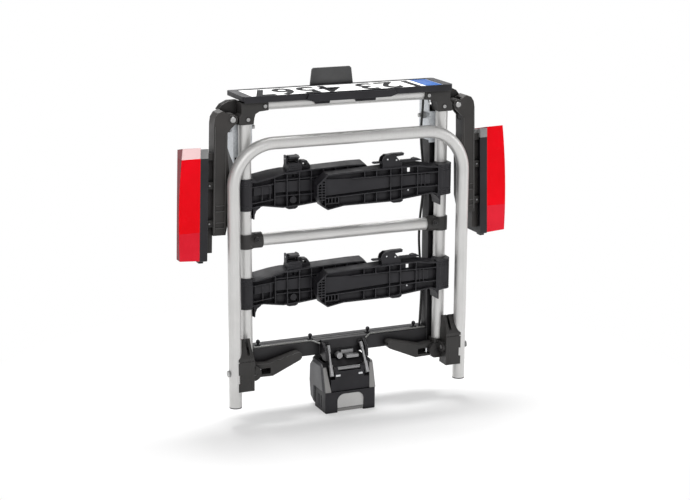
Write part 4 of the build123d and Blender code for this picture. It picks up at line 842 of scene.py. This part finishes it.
def add_pieces(materials):
    """Everything that the scene adds to the CAD model."""
    plate_digits(materials)
    plate_band(materials)
    clamp_screws(materials)
    support_pins(materials)
    lamp_bosses(1, "right_lamp", materials)
    lamp_bosses(-1, "left_lamp", materials)
    rail_fittings("upper", UPPER_RAIL_Z, materials)
    rail_fittings("lower", LOWER_RAIL_Z, materials)
    weld_beads(materials)
    beam_bolts(materials)
    lever_marks(materials)
    lamp_cable(materials)
    pedal_grips(materials)


# Studio

def aim(item, place, target):
    """Put a lamp at a place and point it at a target."""
    item.location = place
    direction = Vector(target) - Vector(place)
    item.rotation_euler = direction.to_track_quat("-Z", "Y").to_euler()


def area_lamp(name, place, target, size, power):
    """A soft rectangular lamp."""
    lamp = bpy.data.lights.new(name, "AREA")
    lamp.shape = "RECTANGLE"
    lamp.size, lamp.size_y = size
    lamp.energy = power
    item = bpy.data.objects.new(name, lamp)
    bpy.context.scene.collection.objects.link(item)
    aim(item, place, target)


def seen_directly(tree):
    """1 for what the camera, gloss and clear plastic see, 0 for the light that falls on things."""
    path = tree.nodes.new("ShaderNodeLightPath")
    seen = maths(tree, "MAXIMUM", path.outputs["Is Camera Ray"], path.outputs["Is Glossy Ray"])
    return maths(tree, "MAXIMUM", seen, path.outputs["Is Transmission Ray"])


def floor():
    """A wide white floor that keeps the rack's shadow and melts into the background further out."""
    material, tree, shader = new_material("floor")
    shader.inputs["Base Color"].default_value = (0.9, 0.9, 0.9, 1.0)
    shader.inputs["Roughness"].default_value = 0.95
    shader.inputs["Specular IOR Level"].default_value = 0.0
    glow = tree.nodes.new("ShaderNodeEmission")
    glow.inputs["Color"].default_value = (1.0, 1.0, 1.0, 1.0)
    glow.inputs["Strength"].default_value = 1.0
    length = tree.nodes.new("ShaderNodeVectorMath")
    length.operation = "LENGTH"
    tree.links.new(object_coordinates(tree), length.inputs[0])
    share = ramp(tree, length.outputs["Value"], 0.3, 1.0, 0.5, 0.95)
    mix = tree.nodes.new("ShaderNodeMixShader")
    tree.links.new(maths(tree, "MULTIPLY", share, seen_directly(tree)), mix.inputs["Fac"])
    tree.links.new(shader.outputs["BSDF"], mix.inputs[1])
    tree.links.new(glow.outputs["Emission"], mix.inputs[2])
    tree.links.new(mix.outputs["Shader"], tree.nodes["Material Output"].inputs["Surface"])
    mesh = bpy.data.meshes.new("floor")
    corners = [(x * FLOOR_HALF, y * FLOOR_HALF, 0) for x, y in ((-1, -1), (1, -1), (1, 1), (-1, 1))]
    mesh.from_pydata(corners, [], [(0, 1, 2, 3)])
    item = bpy.data.objects.new("floor", mesh)
    bpy.context.scene.collection.objects.link(item)
    mesh.materials.append(material)


def world():
    """White for the camera and clear plastic, a grey that darkens upwards for gloss, soft light elsewhere."""
    scene = bpy.context.scene
    scene.world = bpy.data.worlds.new("studio")
    scene.world.use_nodes = True
    tree = scene.world.node_tree
    background = tree.nodes["Background"]
    path = tree.nodes.new("ShaderNodeLightPath")
    direction = tree.nodes.new("ShaderNodeTexCoord")
    height = height_of(tree, direction.outputs["Generated"])
    gloss = ramp(tree, height, 0.62, 0.2, 0.05, 0.8)
    seen = mixed(tree, path.outputs["Is Glossy Ray"], (1.0, 1.0, 1.0), gloss)
    soft = ramp(tree, height, 0.36, 0.5, 0.0, 1.0)
    tree.links.new(mixed(tree, seen_directly(tree), soft, seen), background.inputs["Color"])
    background.inputs["Strength"].default_value = 1.0


def camera():
    """The photograph's camera."""
    data = bpy.data.cameras.new("camera")
    data.sensor_width = SENSOR_MM
    data.lens = FOCAL_PIXELS / PHOTO_WIDTH * SENSOR_MM
    data.clip_end = 200.0
    item = bpy.data.objects.new("camera", data)
    bpy.context.scene.collection.objects.link(item)
    cos_yaw, sin_yaw = math.cos(CAMERA_YAW), math.sin(CAMERA_YAW)
    cos_pitch, sin_pitch = math.cos(CAMERA_PITCH), math.sin(CAMERA_PITCH)
    forward = Vector((sin_yaw * cos_pitch, cos_yaw * cos_pitch, -sin_pitch))
    level = Vector((cos_yaw, -sin_yaw, 0.0))
    upright = level.cross(forward)
    right = math.cos(CAMERA_ROLL) * level + math.sin(CAMERA_ROLL) * upright
    up = right.cross(forward)
    turn = Matrix((right, up, -forward)).transposed()
    item.matrix_world = Matrix.Translation(CAMERA_PLACE) @ turn.to_4x4()
    bpy.context.scene.camera = item


def lights():
    """A large lamp overhead and a little behind, a broad front fill and weaker side and back lamps."""
    for lamp in STUDIO_LAMPS:
        area_lamp(*lamp)


def main():
    """Dress the frame, add the scene's own pieces and set the studio up."""
    materials = make_materials()
    dress_frame(materials)
    add_pieces(materials)
    floor()
    world()
    lights()
    camera()
    bpy.context.scene.view_settings.view_transform = "Standard"


main()
